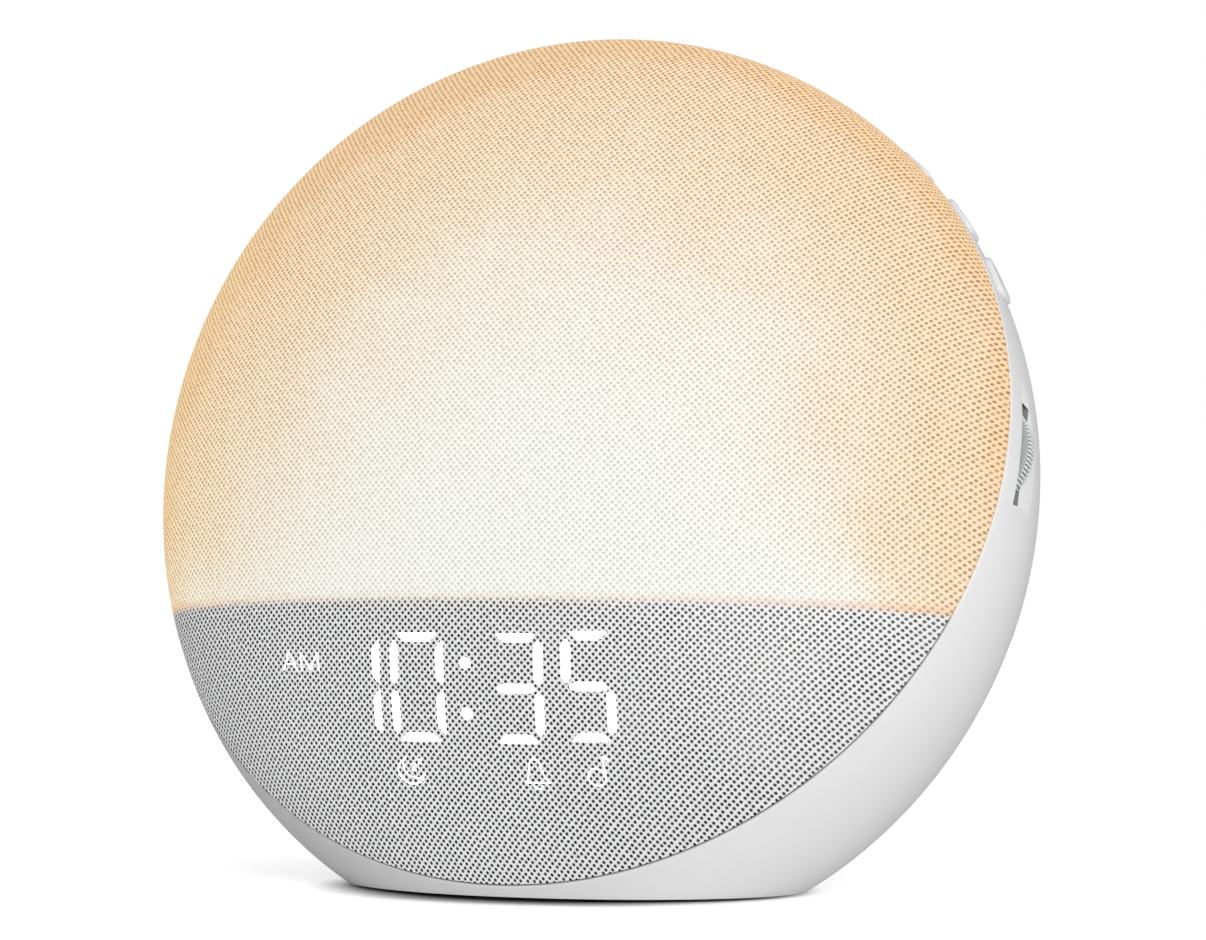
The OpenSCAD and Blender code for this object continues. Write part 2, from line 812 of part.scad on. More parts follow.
module lamps() color("lemonchiffon") in_seam()
    for (i = [0 : led_cols - 1], j = [0 : led_rows - 1]) {
        x = (i - (led_cols - 1) / 2) * (lamp_w - 2 * lamp_corner - 4 * small_screw_d) / led_cols;
        y = (j - (led_rows - 1) / 2) * (lamp_h - 2 * lamp_corner) / led_rows;
        translate([x, lamp_s + y, lamp_m + lamp_t]) {
            linear_extrude(1.2) square(led_s, center = true);
            translate([0, 0, 1]) cylinder(d = led_s - 1, h = 0.5);
        }
    }

module front_screws() color("silver") in_seam() {
    at_lamp_screws() translate([0, 0, lamp_m + lamp_t]) mirror([0, 0, 1])
        screw(small_screw_d, small_head_d, small_head_h, lamp_t + tray_t + frame_t - 0.4);
    at_baffle_screws() translate([0, 0, dome_back + baffle_t]) mirror([0, 0, 1])
        screw(small_screw_d, small_head_d, small_head_h, baffle_t + frame_t - 0.4);
}

// ---- display ----

function upright(l) = [[0, l], [bar_w / 2, l - bar_w / 2], [bar_w / 2, bar_w / 2 - l], [0, -l],
                       [-bar_w / 2, bar_w / 2 - l], [-bar_w / 2, l - bar_w / 2]];

// One bar of a digit: its outline drawn about p and slanted with the digit
module bar(p, outline) {
    polygon([for (q = outline) slant(p + q)]);
}

module bars() {
    for (p = uprights) bar(p, upright(digit_h / 4 - bar_gap));
    for (p = levels) bar(p, [for (q = upright(digit_w / 2 - bar_gap)) [q.y, -q.x]]);
    for (p = dots) translate(slant(p)) circle(d = dot_d);
    translate(legend) square([legend_w, legend_h], center = true);
    for (p = icons) translate(p) circle(d = icon_s);
}

module block_outline() {
    translate([block_x0, block_z1 - block_h]) square([block_x1 - block_x0, block_h]);
    translate([icons_x0, block_z0]) square([icons_x1 - icons_x0, block_z1 - block_z0]);
}

module light_block() color("black") difference() {
    intersection() {
        oval(dome_in + fit);
        in_display(disp_y, block_d + 5) block_outline();
    }
    in_display(disp_y + 1, block_d + 10) bars();
}

module light_bars() color("white") intersection() {
    oval(dome_in + fit);
    in_display(disp_y - lamp_cell, block_d + 5) bars();
}

module display_board() color("darkgreen") difference() {
    in_display(disp_y + disp_t, disp_t) union() {
        block_outline();
        translate([block_x0 - ear_w, ear_z[1] - ear_w / 2])
            square([block_x1 - block_x0 + 2 * ear_w, ear_z[0] - ear_z[1] + ear_w]);
    }
    at_display_screws(disp_y) translate([0, 0, -1]) cylinder(d = small_hole_d, h = disp_t + 2);
}

module display_lamps() color("ivory") in_display(disp_y, led_h) {
    for (p = uprights) translate(slant(p)) square([chip_w, chip_l], center = true);
    for (p = concat(levels, icons)) translate(slant(p)) square([chip_l, chip_w], center = true);
    for (p = dots) translate(slant(p)) square(chip_w, center = true);
    for (i = [-1 : 1]) translate(legend + [i * legend_w / 3.5, 0]) square([chip_l, chip_w], center = true);
}

module display_screws() color("silver")
    at_display_screws(disp_y) screw(small_screw_d, small_head_d, small_head_h, disp_screw_l);

// Flat cable from the back of the display board, through the frame, to the main board
module display_ribbon() color("lightsteelblue") {
    run = ribbon_m - main_front;
    end = [ribbon_y + run * cos(seam_tilt), ribbon_z - run * sin(seam_tilt)];
    bend = ribbon_t / 2 * [tan(seam_tilt / 2), 1];
    side = ribbon_t / 2 * [sin(seam_tilt), cos(seam_tilt)];
    start = [disp_y + disp_t, ribbon_z];
    up = [0, ribbon_t / 2];
    middle = [ribbon_y, ribbon_z];
    translate([-ribbon_w / 2, 0, centre_h]) rotate([90, 0, 90]) linear_extrude(ribbon_w)
        polygon([start - up, middle - bend, end - side, end + side, middle + bend, start + up]);
}

// ---- main board and leads ----

module at_main_screws() {
    for (x = [-1, 1], y = [-1, 1])
        translate([x * (main_w / 2 - main_corner), main_s + y * (main_h / 2 - main_corner), 0]) children();
}

module main_board() color("seagreen") in_seam() difference() {
    translate([0, main_s, main_back]) linear_extrude(main_t) rounded(main_w, main_h, 2);
    at_main_screws() translate([0, 0, main_back - 1]) cylinder(d = small_hole_d, h = main_t + 2);
}

module board_parts() color("dimgray") in_seam() {
    for (c = chips) translate([board_x + c[0], main_s + c[1], main_back - c[4]]) linear_extrude(c[4])
        square([c[2], c[3]], center = true);
    for (c = capacitors) translate([board_x + c.x, main_s + c.y, main_back - capacitor_h])
        cylinder(d = capacitor_d, h = capacitor_h);
    for (i = [0 : len(plug_x) - 1]) translate(plug_place(i)) linear_extrude(plug_h)
        square([plug_w, 4], center = true);
}

// The cell's frame: its outer end at m = 0, the board at m = holder_floor + cell_h
module at_cell() {
    in_seam() translate([cell_x, cell_s, main_back - cell_h - holder_floor]) children();
}

module cell_holder() color("black") at_cell() difference() {
    cylinder(d = cell_d + 2 * holder_wall + 2 * fit, h = cell_h + holder_floor);
    translate([0, 0, -1]) cylinder(d = cell_d + 2 * fit, h = cell_h + 1);
    translate([-4, 0, -1]) cube([8, cell_d, cell_h + 1]);
}

module coin_cell() color("silver") at_cell() {
    translate([0, 0, 0.8]) cylinder(d = cell_d, h = cell_h - 0.8);
    cylinder(d = cell_d - 2.4, h = 0.8);
}

module board_screws() color("silver") in_seam() at_main_screws() translate([0, 0, main_back])
    screw(small_screw_d, small_head_d, small_head_h, main_t + standoff_h - 1.5);

module at_inlet() {
    translate([0, inlet_y, inlet_z]) rotate([-90, 0, 0]) children();
}

// Panel socket: the neck passes through the housing's wall and the body sits behind it
module power_inlet() color("black") at_inlet() difference() {
    union() {
        translate([0, 0, -inlet_wall - inlet_body_l]) cylinder(d = inlet_body_d, h = inlet_body_l);
        translate([0, 0, -inlet_wall - 1]) cylinder(d = inlet_neck, h = inlet_wall + inlet_out + 1);
    }
    translate([0, 0, inlet_out - inlet_depth]) cylinder(d = inlet_bore, h = inlet_depth + 1);
}

module inlet_pin() color("silver") at_inlet() translate([0, 0, inlet_out - inlet_depth]) {
    cylinder(d = pin_d, h = inlet_depth - 1.5);
    translate([0, 0, inlet_depth - 1.5]) cylinder(d1 = pin_d, d2 = pin_d / 2, h = 0.5);
}

module inlet_nut() color("silver") at_inlet() difference() {
    cylinder(d = nut_flat / cos(30), h = nut_t, $fn = 6);
    translate([0, 0, -1]) cylinder(d = inlet_neck, h = nut_t + 2);
}

module power_lead() color("red") for (side = [-1, 1]) {
    plug = plug_place(2) + [side * wire_d, 0, 0];
    back = inlet_y - inlet_wall - inlet_body_l;
    in_seam() wire([
        world_point([side * pin_d, back, inlet_z]), world_point([side * pin_d, back - bend_out, inlet_z]),
        [plug.x, main_s - bend_out, bend_m - bend_out], plug - [0, 0, bend_out], plug
    ], wire_d);
}

module speaker_lead() color("black") for (side = [-1, 1]) {
    root = [side * wire_d, speaker_v - magnet_d / 2 - 1.5, plate_w0 + basket_t];
    plug = plug_place(3) + [side * wire_d, 0, 0];
    in_seam() wire([
        body_point(root), body_point(root + [0, 0, yoke_w1 - plate_w0 + 2]),
        plug + [0, bend_out, -bend_out], plug - [0, 0, bend_out], plug
    ], wire_d);
}

// The two wires lie one over the other where they cross the frame
module lamp_lead() color("red") for (side = [-1, 1]) in_seam() {
    plug = plug_place(1) + [side * wire_d, 0, 0];
    across = frame_back - 3 - side;
    turn = main_s + main_h / 2 + bend_out;
    wire([
        [lead_x + side * wire_d, lamp_s, lamp_m], [lead_x + side * wire_d, lamp_s, across],
        [plug.x, turn, across], [plug.x, turn, bend_m], plug - [0, 0, bend_out], plug
    ], wire_d);
}

// ---- speaker ----

module speaker_screw_places() {
    for (a = [45 : 90 : 315]) rotate([0, 0, a]) translate([speaker_d / 2 - small_head_d / 2 - 0.1, 0, 0])
        children();
}

module in_speaker() {
    in_body() translate([0, speaker_v, 0]) children();
}

module turned(points) {
    rotate_extrude() polygon(points);
}

module speaker_gasket() color("black") in_speaker() translate([0, 0, seat_w]) difference() {
    tube(speaker_d, gasket_in, gasket_t);
    speaker_screw_places() translate([0, 0, -1]) cylinder(d = small_hole_d, h = gasket_t + 2);
}

// The chassis: a flange, a conical wall with four windows and a shelf for the spider
module speaker_basket() color("dimgray") in_speaker() difference() {
    turned([
        [speaker_d / 2, flange_w0], [speaker_d / 2, flange_w1], [basket_in / 2 + basket_t, flange_w1],
        [plate_d / 2 + basket_t, plate_w0 + basket_t], [coil_d / 2 + pole_gap, plate_w0 + basket_t],
        [coil_d / 2 + pole_gap, plate_w0], [spider_d / 2 - shelf_w, plate_w0],
        [spider_d / 2 - shelf_w, spider_w + spider_t], [spider_d / 2, spider_w + spider_t],
        [spider_d / 2, spider_w], [basket_in / 2, flange_w0]
    ]);
    speaker_screw_places() translate([0, 0, flange_w0 - 1]) cylinder(d = small_hole_d, h = basket_t + 2);
    for (a = [0 : 90 : 270]) rotate([0, 0, a]) translate([spider_d / 2, -7, flange_w1 + 1.5])
        cube([basket_in, 14, spider_w - flange_w1 - 2.5]);
}

module speaker_magnet() color("darkslategray") in_speaker() translate([0, 0, magnet_w0])
    tube(magnet_d, coil_d + 4, magnet_t);

module speaker_yoke() color("silver") in_speaker() {
    translate([0, 0, magnet_w1]) cylinder(d = magnet_d - 2, h = yoke_t);
    translate([0, 0, plate_w0]) cylinder(d = coil_d - 2 * pole_gap, h = magnet_w1 - plate_w0 + 0.5);
}

// A half-round roll between a lip on the basket's flange and a lip on the cone's rim
module speaker_surround() color("black") in_speaker() {
    r = surround_w / 2;
    w = flange_w0 - surround_t;
    middle = cone_d / 2 + r;
    turned(concat(
        [[basket_in / 2 + surround_lip, flange_w0], [basket_in / 2 + surround_lip, w]],
        [for (a = [0 : 20 : 180]) [middle + r * cos(a), w - r * sin(a)]],
        [[cone_d / 2 - cone_lip, w], [cone_d / 2 - cone_lip, flange_w0],
         [cone_d / 2 + surround_t, flange_w0]],
        [for (a = [180 : -20 : 0]) [middle + (r - surround_t) * cos(a), w - (r - surround_t) * sin(a)]],
        [[basket_in / 2 - surround_t, flange_w0]]
    ));
}

module speaker_spider() color("tan") in_speaker() translate([0, 0, spider_w])
    tube(spider_d, 2 * coil_r, spider_t);

module speaker_cone() color("dimgray") in_speaker() turned([
    [cone_d / 2, flange_w0], [cone_d / 2, flange_w0 + cone_t], [cone_d / 2 - cone_lip, flange_w0 + cone_t],
    [coil_r + cone_t, neck_w + cone_t], [coil_r, neck_w + cone_t], [coil_r, neck_w],
    [cone_d / 2 - cone_lip, flange_w0]
]);

// The cap rests on the cone; cone_w is the cone's height at the cap's edge
module dust_cap() color("black") in_speaker() {
    cone_w = neck_w - (neck_w - flange_w0) * (cap_r - coil_r) / (cone_d / 2 - cone_lip - coil_r);
    intersection() {
        translate([0, 0, cone_w + sqrt(cap_curve * cap_curve - cap_r * cap_r)]) difference() {
            sphere(r = cap_curve);
            sphere(r = cap_curve - cap_t);
        }
        translate([0, 0, cone_w - cap_r]) cylinder(r = cap_r + 1, h = cap_r);
    }
}

module voice_coil() color("orangered") in_speaker() translate([0, 0, neck_w])
    tube(2 * coil_r, coil_d, plate_w0 + magnet_t / 2 - neck_w);

module speaker_screws() color("silver") in_speaker() translate([0, 0, flange_w1]) speaker_screw_places()
    mirror([0, 0, 1]) screw(small_screw_d, small_head_d, small_head_h, basket_t + gasket_t + 3.5);

// ---- keys and thumbwheels ----

// A key of the right side, number 0 nearest to the top
module key(i) {
    tip = key_r + strip_t + switch_h - stem_in;
    intersection() {
        shell(-key_proud, cap_in);
        at_key(i) key_prism(0, key_drop);
    }
    intersection() {
        shell(wall + fit, cap_in);
        at_key(i) translate([0, key_r, 0]) rotate([-90, 0, 0]) linear_extrude(body_r)
            rounded(key_l + 2 * key_flange_l, key_w + 2 * key_flange_w, key_corner);
    }
    at_key(i) translate([0, tip, 0]) rotate([-90, 0, 0])
        cylinder(d = stem_d, h = oval_r(key_angle(i), key_m, wall + fit + key_flange_t / 2) - tip);
}

module key_bracket() difference() {
    back = key_m - key_w / 2 - strip_edge;
    union() {
        arc_wall(key_r - key_bracket_t, key_r, back, frame_back, key_first, key_last);
        arc_wall(key_r - key_bracket_t - foot_l, key_r - key_bracket_t / 2, frame_back - foot_t, frame_back,
                 key_mid - key_foot_a, key_mid + key_foot_a);
    }
    in_seam() key_bracket_screws() translate([0, 0, frame_back - foot_t - 1])
        cylinder(d = small_hole_d, h = foot_t + 2);
}

// The key strip with its three push switches, each with a well for the key's stem
module key_strip() {
    arc_wall(key_r, key_r + strip_t, key_m - key_w / 2 - strip_edge, key_m + key_w / 2, key_first, key_last);
    for (i = [0 : key_n - 1]) at_key(i) difference() {
        translate([-switch_s / 2, key_r + strip_t / 2, -switch_s / 2])
            cube([switch_s, switch_h + strip_t / 2, switch_s]);
        translate([0, key_r + strip_t + switch_h - switch_bore_h, 0]) rotate([-90, 0, 0])
            cylinder(d = switch_bore, h = switch_h);
    }
}

module key_bracket_screws() {
    r = key_r - key_bracket_t - foot_l / 2;
    for (a = [-0.6, 0.6]) rotate([0, 0, -key_mid - a * key_foot_a]) translate([0, r, 0]) children();
}

module wheel_bracket_screws() {
    for (y = [-1, 1]) translate([leg_x - 3, wheel_s + y * bracket_w / 4, 0]) children();
}

module bracket_screw_places() {
    key_bracket_screws() children();
    wheel_bracket_screws() children();
}

module at_wheel() {
    in_seam() translate([wheel_x, wheel_s, 0]) children();
}

module wheel() at_wheel() difference() {
    turned([
        [shaft_d / 2, wheel_back - 0.4], [hub_d / 2, wheel_back - 0.4], [hub_d / 2, wheel_back],
        [wheel_r - wheel_edge, wheel_back], [wheel_r, wheel_back + wheel_edge],
        [wheel_r, wheel_front - wheel_edge], [wheel_r - wheel_edge, wheel_front], [shaft_d / 2, wheel_front]
    ]);
    for (i = [0 : wheel_ribs - 1]) rotate([0, 0, 360 * i / wheel_ribs])
        translate([wheel_r - rib_depth, -rib_depth / 2, wheel_back - 1])
            cube([2 * rib_depth, rib_depth, wheel_t + 2]);
}

module shaft() at_wheel() translate([0, 0, encoder_back + 1])
    cylinder(d = shaft_d, h = wheel_front - encoder_back - 1);

module wheel_encoders() color("steelblue") both_sides() at_wheel() difference() {
    union() {
        translate([-encoder_s / 2, -encoder_s / 2, encoder_back]) cube([encoder_s, encoder_s, encoder_h]);
        translate([0, 0, encoder_front - 0.5]) cylinder(d = bush_d, h = 0.6);
    }
    translate([0, 0, encoder_back + 0.7]) cylinder(d = shaft_d + 2 * shaft_fit, h = span);
}

module wheel_brackets() color("slategray") both_sides() in_seam() difference() {
    translate([0, wheel_s - bracket_w / 2, 0]) {
        translate([leg_x, 0, encoder_back - wheel_plate_t])
            cube([wheel_x + encoder_s / 2 - leg_x, bracket_w, wheel_plate_t]);
        translate([leg_x, 0, encoder_back - wheel_plate_t])
            cube([leg_t, bracket_w, frame_back - encoder_back + wheel_plate_t]);
        translate([leg_x - foot_l, 0, frame_back - foot_t]) cube([foot_l + leg_t, bracket_w, foot_t]);
    }
    wheel_bracket_screws() translate([0, 0, frame_back - foot_t - 1])
        cylinder(d = small_hole_d, h = foot_t + 2);
}

module bracket_screws() color("silver") both_sides() in_seam() bracket_screw_places()
    translate([0, 0, frame_back - foot_t])
        screw(small_screw_d, small_head_d, small_head_h, foot_t + frame_t / 2);

// From each side's key strip and wheel encoder to the main board
module side_leads() color("lightsteelblue") both_sides() in_seam() {
    a = key_last - 1.5;
    r = key_r + strip_t / 2;
    plug = plug_place(len(plug_x) - 1);
    encoder_m = encoder_back + encoder_h / 2;
    wire([
        [r * sin(a), r * cos(a), key_m - key_w / 2 - strip_edge], [r * sin(a), r * cos(a), bend_m],
        side_join, [plug.x, plug.y, bend_m], plug
    ], wire_d);
    wire([
        [wheel_x, wheel_s - encoder_s / 2, encoder_m], [wheel_x, wheel_s - encoder_s, encoder_m], side_join
    ], wire_d);
}

module right_key_bracket() color("slategray") key_bracket();
module left_key_bracket() color("slategray") mirror([1, 0, 0]) key_bracket();
module right_key_strip() color("goldenrod") key_strip();
module left_key_strip() color("goldenrod") mirror([1, 0, 0]) key_strip();
module right_key_1() color("whitesmoke") key(0);
module right_key_2() color("whitesmoke") key(1);
module right_key_3() color("whitesmoke") key(2);
module left_key_1() color("whitesmoke") mirror([1, 0, 0]) key(0);
module left_key_2() color("whitesmoke") mirror([1, 0, 0]) key(1);
module left_key_3() color("whitesmoke") mirror([1, 0, 0]) key(2);
module right_wheel() color("white") wheel();
module left_wheel() color("white") mirror([1, 0, 0]) wheel();
module right_shaft() color("silver") shaft();
module left_shaft() color("silver") mirror([1, 0, 0]) shaft();

rear_housing();
base_plate();
rubber_foot();
base_screws();
front_frame();
case_screws();
fabric_cover();
light_diffuser();
display_window();
dome_screws();
horizon_baffle();
reflector_tray();
lamp_board();
lamps();
front_screws();
light_block();
light_bars();
display_board();
display_lamps();
display_screws();
display_ribbon();
main_board();
board_parts();
cell_holder();
coin_cell();
board_screws();
power_inlet();
inlet_pin();
inlet_nut();
power_lead();
lamp_lead();
speaker_lead();
side_leads();
speaker_gasket();
speaker_basket();
speaker_magnet();
speaker_yoke();
speaker_surround();
speaker_spider();
speaker_cone();
dust_cap();
voice_coil();
speaker_screws();
right_key_bracket();
left_key_bracket();
right_key_strip();
left_key_strip();
right_key_1();
right_key_2();
right_key_3();
left_key_1();
left_key_2();
left_key_3();
right_wheel();
left_wheel();
right_shaft();
left_shaft();
wheel_encoders();
wheel_brackets();
bracket_screws();
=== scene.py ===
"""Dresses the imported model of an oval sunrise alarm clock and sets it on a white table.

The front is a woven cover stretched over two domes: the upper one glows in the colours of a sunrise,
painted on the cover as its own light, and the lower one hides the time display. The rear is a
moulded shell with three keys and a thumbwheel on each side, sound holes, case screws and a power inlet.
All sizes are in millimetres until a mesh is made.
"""

import logging
import math
from dataclasses import dataclass, field
from enum import Enum
from typing import Any, Iterable, Sequence

import bmesh
import bpy
import numpy as np
from mathutils import Matrix, Vector


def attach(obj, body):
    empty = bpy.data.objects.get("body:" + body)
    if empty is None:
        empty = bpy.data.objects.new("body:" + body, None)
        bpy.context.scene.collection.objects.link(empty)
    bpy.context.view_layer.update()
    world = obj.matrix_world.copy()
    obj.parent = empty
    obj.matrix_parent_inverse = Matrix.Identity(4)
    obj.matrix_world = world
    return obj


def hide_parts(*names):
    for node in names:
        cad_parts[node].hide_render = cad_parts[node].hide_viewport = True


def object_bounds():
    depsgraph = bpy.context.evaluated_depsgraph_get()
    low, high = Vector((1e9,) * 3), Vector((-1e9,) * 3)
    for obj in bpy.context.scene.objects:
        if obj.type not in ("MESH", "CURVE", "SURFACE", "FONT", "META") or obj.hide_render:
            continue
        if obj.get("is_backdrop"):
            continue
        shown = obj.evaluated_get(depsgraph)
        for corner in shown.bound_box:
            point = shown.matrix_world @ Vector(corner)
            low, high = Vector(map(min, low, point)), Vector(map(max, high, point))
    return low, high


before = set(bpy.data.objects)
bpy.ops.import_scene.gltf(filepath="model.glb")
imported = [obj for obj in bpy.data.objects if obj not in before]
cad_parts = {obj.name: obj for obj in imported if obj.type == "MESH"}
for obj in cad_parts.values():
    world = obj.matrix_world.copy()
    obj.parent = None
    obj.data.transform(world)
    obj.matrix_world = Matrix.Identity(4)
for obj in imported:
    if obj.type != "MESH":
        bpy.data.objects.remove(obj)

LOG = logging.getLogger("sunrise_clock")
MM = 0.001
PICTURE_W = 1206

Array = np.ndarray
Object = bpy.types.Object
Material = bpy.types.Material
Node = bpy.types.Node
Pair = tuple[float, float]
Inputs = dict[str | int, Any]

OUT_OF_BACK = np.array([[1.0, 0, 0], [0, 0, -1], [0, 1, 0]])
RGBA = {"data_type": "RGBA"}
SMOOTH = {"interpolation_type": "SMOOTHSTEP"}


class Side(Enum):
    """The two sides of the body, with the sign of X on each."""

    RIGHT = 1
    LEFT = -1

    @property
    def word(self) -> str:
        """The side's name, as names of pieces have it."""
        return self.name.lower()

    @property
    def flip(self) -> Array:
        """Factors that take a point of the right side to this one."""
        return np.array([self.value, 1, 1])


class Join(Enum):
    """How one solid is worked into another."""

    CUT = "DIFFERENCE"
    ADD = "UNION"
    TRIM = "INTERSECT"


# ---------------------------------------------------------------- shape of the body


@dataclass(frozen=True)
class Placing:
    """A place with its own three axes, as rows of a matrix."""

    origin: Array
    axes: Array

    def out(self, local: Array) -> Array:
        """Turns local points, one a row, into points of the frame."""
        return np.asarray(local, float) @ self.axes + self.origin

    def into(self, points: Array) -> Array:
        """Turns points of the frame into local ones."""
        return (np.asarray(points, float) - self.origin) @ self.axes.T

    def moved(self, *local: float) -> "Placing":
        """The same axes at another place, given in local numbers."""
        return Placing(self.out(np.array([local]))[0], self.axes)

    def facing(self, *signs: float) -> "Placing":
        """The same place, with each axis times a sign."""
        return Placing(self.origin, self.axes * np.array(signs)[:, None])


@dataclass(frozen=True)
class Oval:
    """The oval of revolution that both halves of the body share, and the seam across it."""

    radius: float = 82.5
    half_depth: float = 54.5
    lean: float = 8.5
    seam_tilt: float = 21.0
    base_w: float = 86.2
    cut_z: float = 0.5

    @property
    def centre(self) -> Array:
        """The body's centre, from the width of the flat base under it.

        Returns:
            The point.
        """
        lean = math.radians(self.lean)
        top = math.hypot(self.radius * math.cos(lean), self.half_depth * math.sin(lean))
        share = self.base_w / (2 * self.radius)
        return np.array([0, 0, self.cut_z + top * math.sqrt(1 - share**2)])

    def tilted(self, degrees: float) -> Placing:
        """The frame that leans back by an angle.

        Args:
            degrees: The angle from upright.

        Returns:
            A placing at the body's centre: x across, y up, z forward.
        """
        a = math.radians(degrees)
        axes = np.array([[1, 0, 0], [0, math.sin(a), math.cos(a)], [0, -math.cos(a), math.sin(a)]])
        return Placing(self.centre, axes)

    @property
    def body(self) -> Placing:
        """The body's own leaning frame."""
        return self.tilted(self.lean)

    @property
    def seam(self) -> Placing:
        """The seam's frame: x across, S up along the seam, M forward across it."""
        return self.tilted(self.seam_tilt)

    def radii(self, inset: float) -> Array:
        """The oval's three half axes, less an inset."""
        return np.array([self.radius, self.radius, self.half_depth]) - inset

    def unit(self, points: Array, inset: float = 0.0) -> Array:
        """Points in the frame where the inset oval is a ball of radius 1."""
        return self.body.into(points) / self.radii(inset)

    def normals(self, points: Array, inset: float = 0.0) -> Array:
        """Outward unit normals of the oval at points on it or near it."""
        n = (self.unit(points, inset) / self.radii(inset)) @ self.body.axes
        return n / np.linalg.norm(n, axis=1, keepdims=True)

    def pole(self, inset: float) -> tuple[Array, float]:
        """The front pole of the rings that lie parallel to the seam.

        Args:
            inset: Depth under the outer surface.

        Returns:
            The seam's normal on the unit ball, and how far a unit of it reaches along M.
        """
        t = math.radians(self.seam_tilt - self.lean)
        r, _, b = self.radii(inset)
        reach = math.hypot(r * math.sin(t), b * math.cos(t))
        return np.array([0, r * math.sin(t), b * math.cos(t)]) / reach, reach

    def angle_at(self, m: float, inset: float = 0.0) -> float:
        """The angle from the front pole at which the oval meets the plane M = m."""
        return math.acos(m / self.pole(inset)[1])

    def ring(self, theta: float, phi: Array, inset: float = 0.0) -> Array:
        """Points of one ring of the oval, parallel to the seam.

        Args:
            theta: The ring's angle from the front pole, in radians.
            phi: Angles round the seam's axis, from the side to the top.
            inset: Depth under the outer surface.

        Returns:
            One row for each point.
        """
        n, _ = self.pole(inset)
        up = np.array([0, n[2], -n[1]])
        ball = (math.cos(theta) * n
                + (math.sin(theta) * np.cos(phi))[:, None] * np.array([1.0, 0, 0])
                + (math.sin(theta) * np.sin(phi))[:, None] * up)
        return self.body.out(ball * self.radii(inset))

    def tip(self, theta: float, inset: float = 0.0) -> Array:
        """The one point of a ring that has shrunk to a pole."""
        return self.ring(theta, np.zeros(1), inset)[0]

    def hit(self, origins: Array, direction: Array, inset: float = 0.0) -> Array:
        """Follows a direction from each origin to where it leaves the inset oval.

        Args:
            origins: Points inside the oval.
            direction: One direction for all of them.
            inset: Depth under the outer surface, or less than 0 above it.

        Returns:
            The points on the surface.
        """
        o = self.unit(origins, inset)
        d = (np.asarray(direction) @ self.body.axes.T) / self.radii(inset)
        a, b, c = d @ d, o @ d, (o * o).sum(1) - 1
        t = (-b + np.sqrt(np.maximum(b * b - a * c, 0))) / a
        return origins + t[:, None] * direction


# ---------------------------------------------------------------- outlines


def around(n: int) -> Array:
    """Angles of n even steps round a circle."""
    return np.linspace(0, 2 * math.pi, n, endpoint=False)


def circle(radius: float | Array, height: float, n: int) -> Array:
    """A ring about the third axis.

    Args:
        radius: One radius, or one for each point.
        height: Height along the axis.
        n: Number of points.

    Returns:
        One row for each point.
    """
    a = around(n)
    return np.stack([radius * np.cos(a), radius * np.sin(a), np.full(n, height)], 1)


def arc(middle: Array, radii: Pair, start: float, end: float, n: int) -> Array:
    """Part of an upright ellipse.

    Args:
        middle: Its middle.
        radii: Its two half axes.
        start: Angle of the first point, in degrees from the right.
        end: Angle of the last point.
        n: Number of points.

    Returns:
        One row of two numbers for each point.
    """
    a = np.radians(np.linspace(start, end, n))
    return np.asarray(middle) + np.stack([radii[0] * np.cos(a), radii[1] * np.sin(a)], 1)


def rounded_outline(w: float, l: float, r: float, steps: int = 8) -> Array:
    """A rounded rectangle's outline about the origin, anticlockwise.

    Args:
        w: Width.
        l: Length.
        r: Radius of its corners.
        steps: Number of steps round a corner.

    Returns:
        One row of two numbers for each point.
    """
    least = 1e-3
    r = max(min(r, w / 2 - least, l / 2 - least), least)
    corners = (((1, 1), 0), ((-1, 1), 90), ((-1, -1), 180), ((1, -1), 270))
    return np.concatenate([arc(np.array(sign) * (w / 2 - r, l / 2 - r), (r, r), turn, turn + 90, steps + 1)
                           for sign, turn in corners])


# ---------------------------------------------------------------- meshes


def linked(name: str, data: Any) -> Object:
    """Makes an object from its data and links it to the scene.

    Args:
        name: The object's name.
        data: Its mesh, light or camera.

    Returns:
        The object, at the origin.
    """
    obj = bpy.data.objects.new(name, data)
    bpy.context.scene.collection.objects.link(obj)
    return obj


def read(items: Any, name: str, width: int = 3, kind: type = float) -> Array:
    """Reads one property of all points, faces or corners of a mesh.

    Args:
        items: The mesh's own list of them.
        name: The property.
        width: How many numbers each has.
        kind: The numbers' type.

    Returns:
        One row for each item.
    """
    values = np.empty(len(items) * width, kind)
    items.foreach_get(name, values)
    return values.reshape(-1, width)


def shade(mesh: bpy.types.Mesh, sharp: float) -> None:
    """Shades a mesh smooth, but for edges over an angle in degrees."""
    mesh.polygons.foreach_set("use_smooth", [True] * len(mesh.polygons))
    mesh.set_sharp_from_angle(angle=math.radians(sharp))


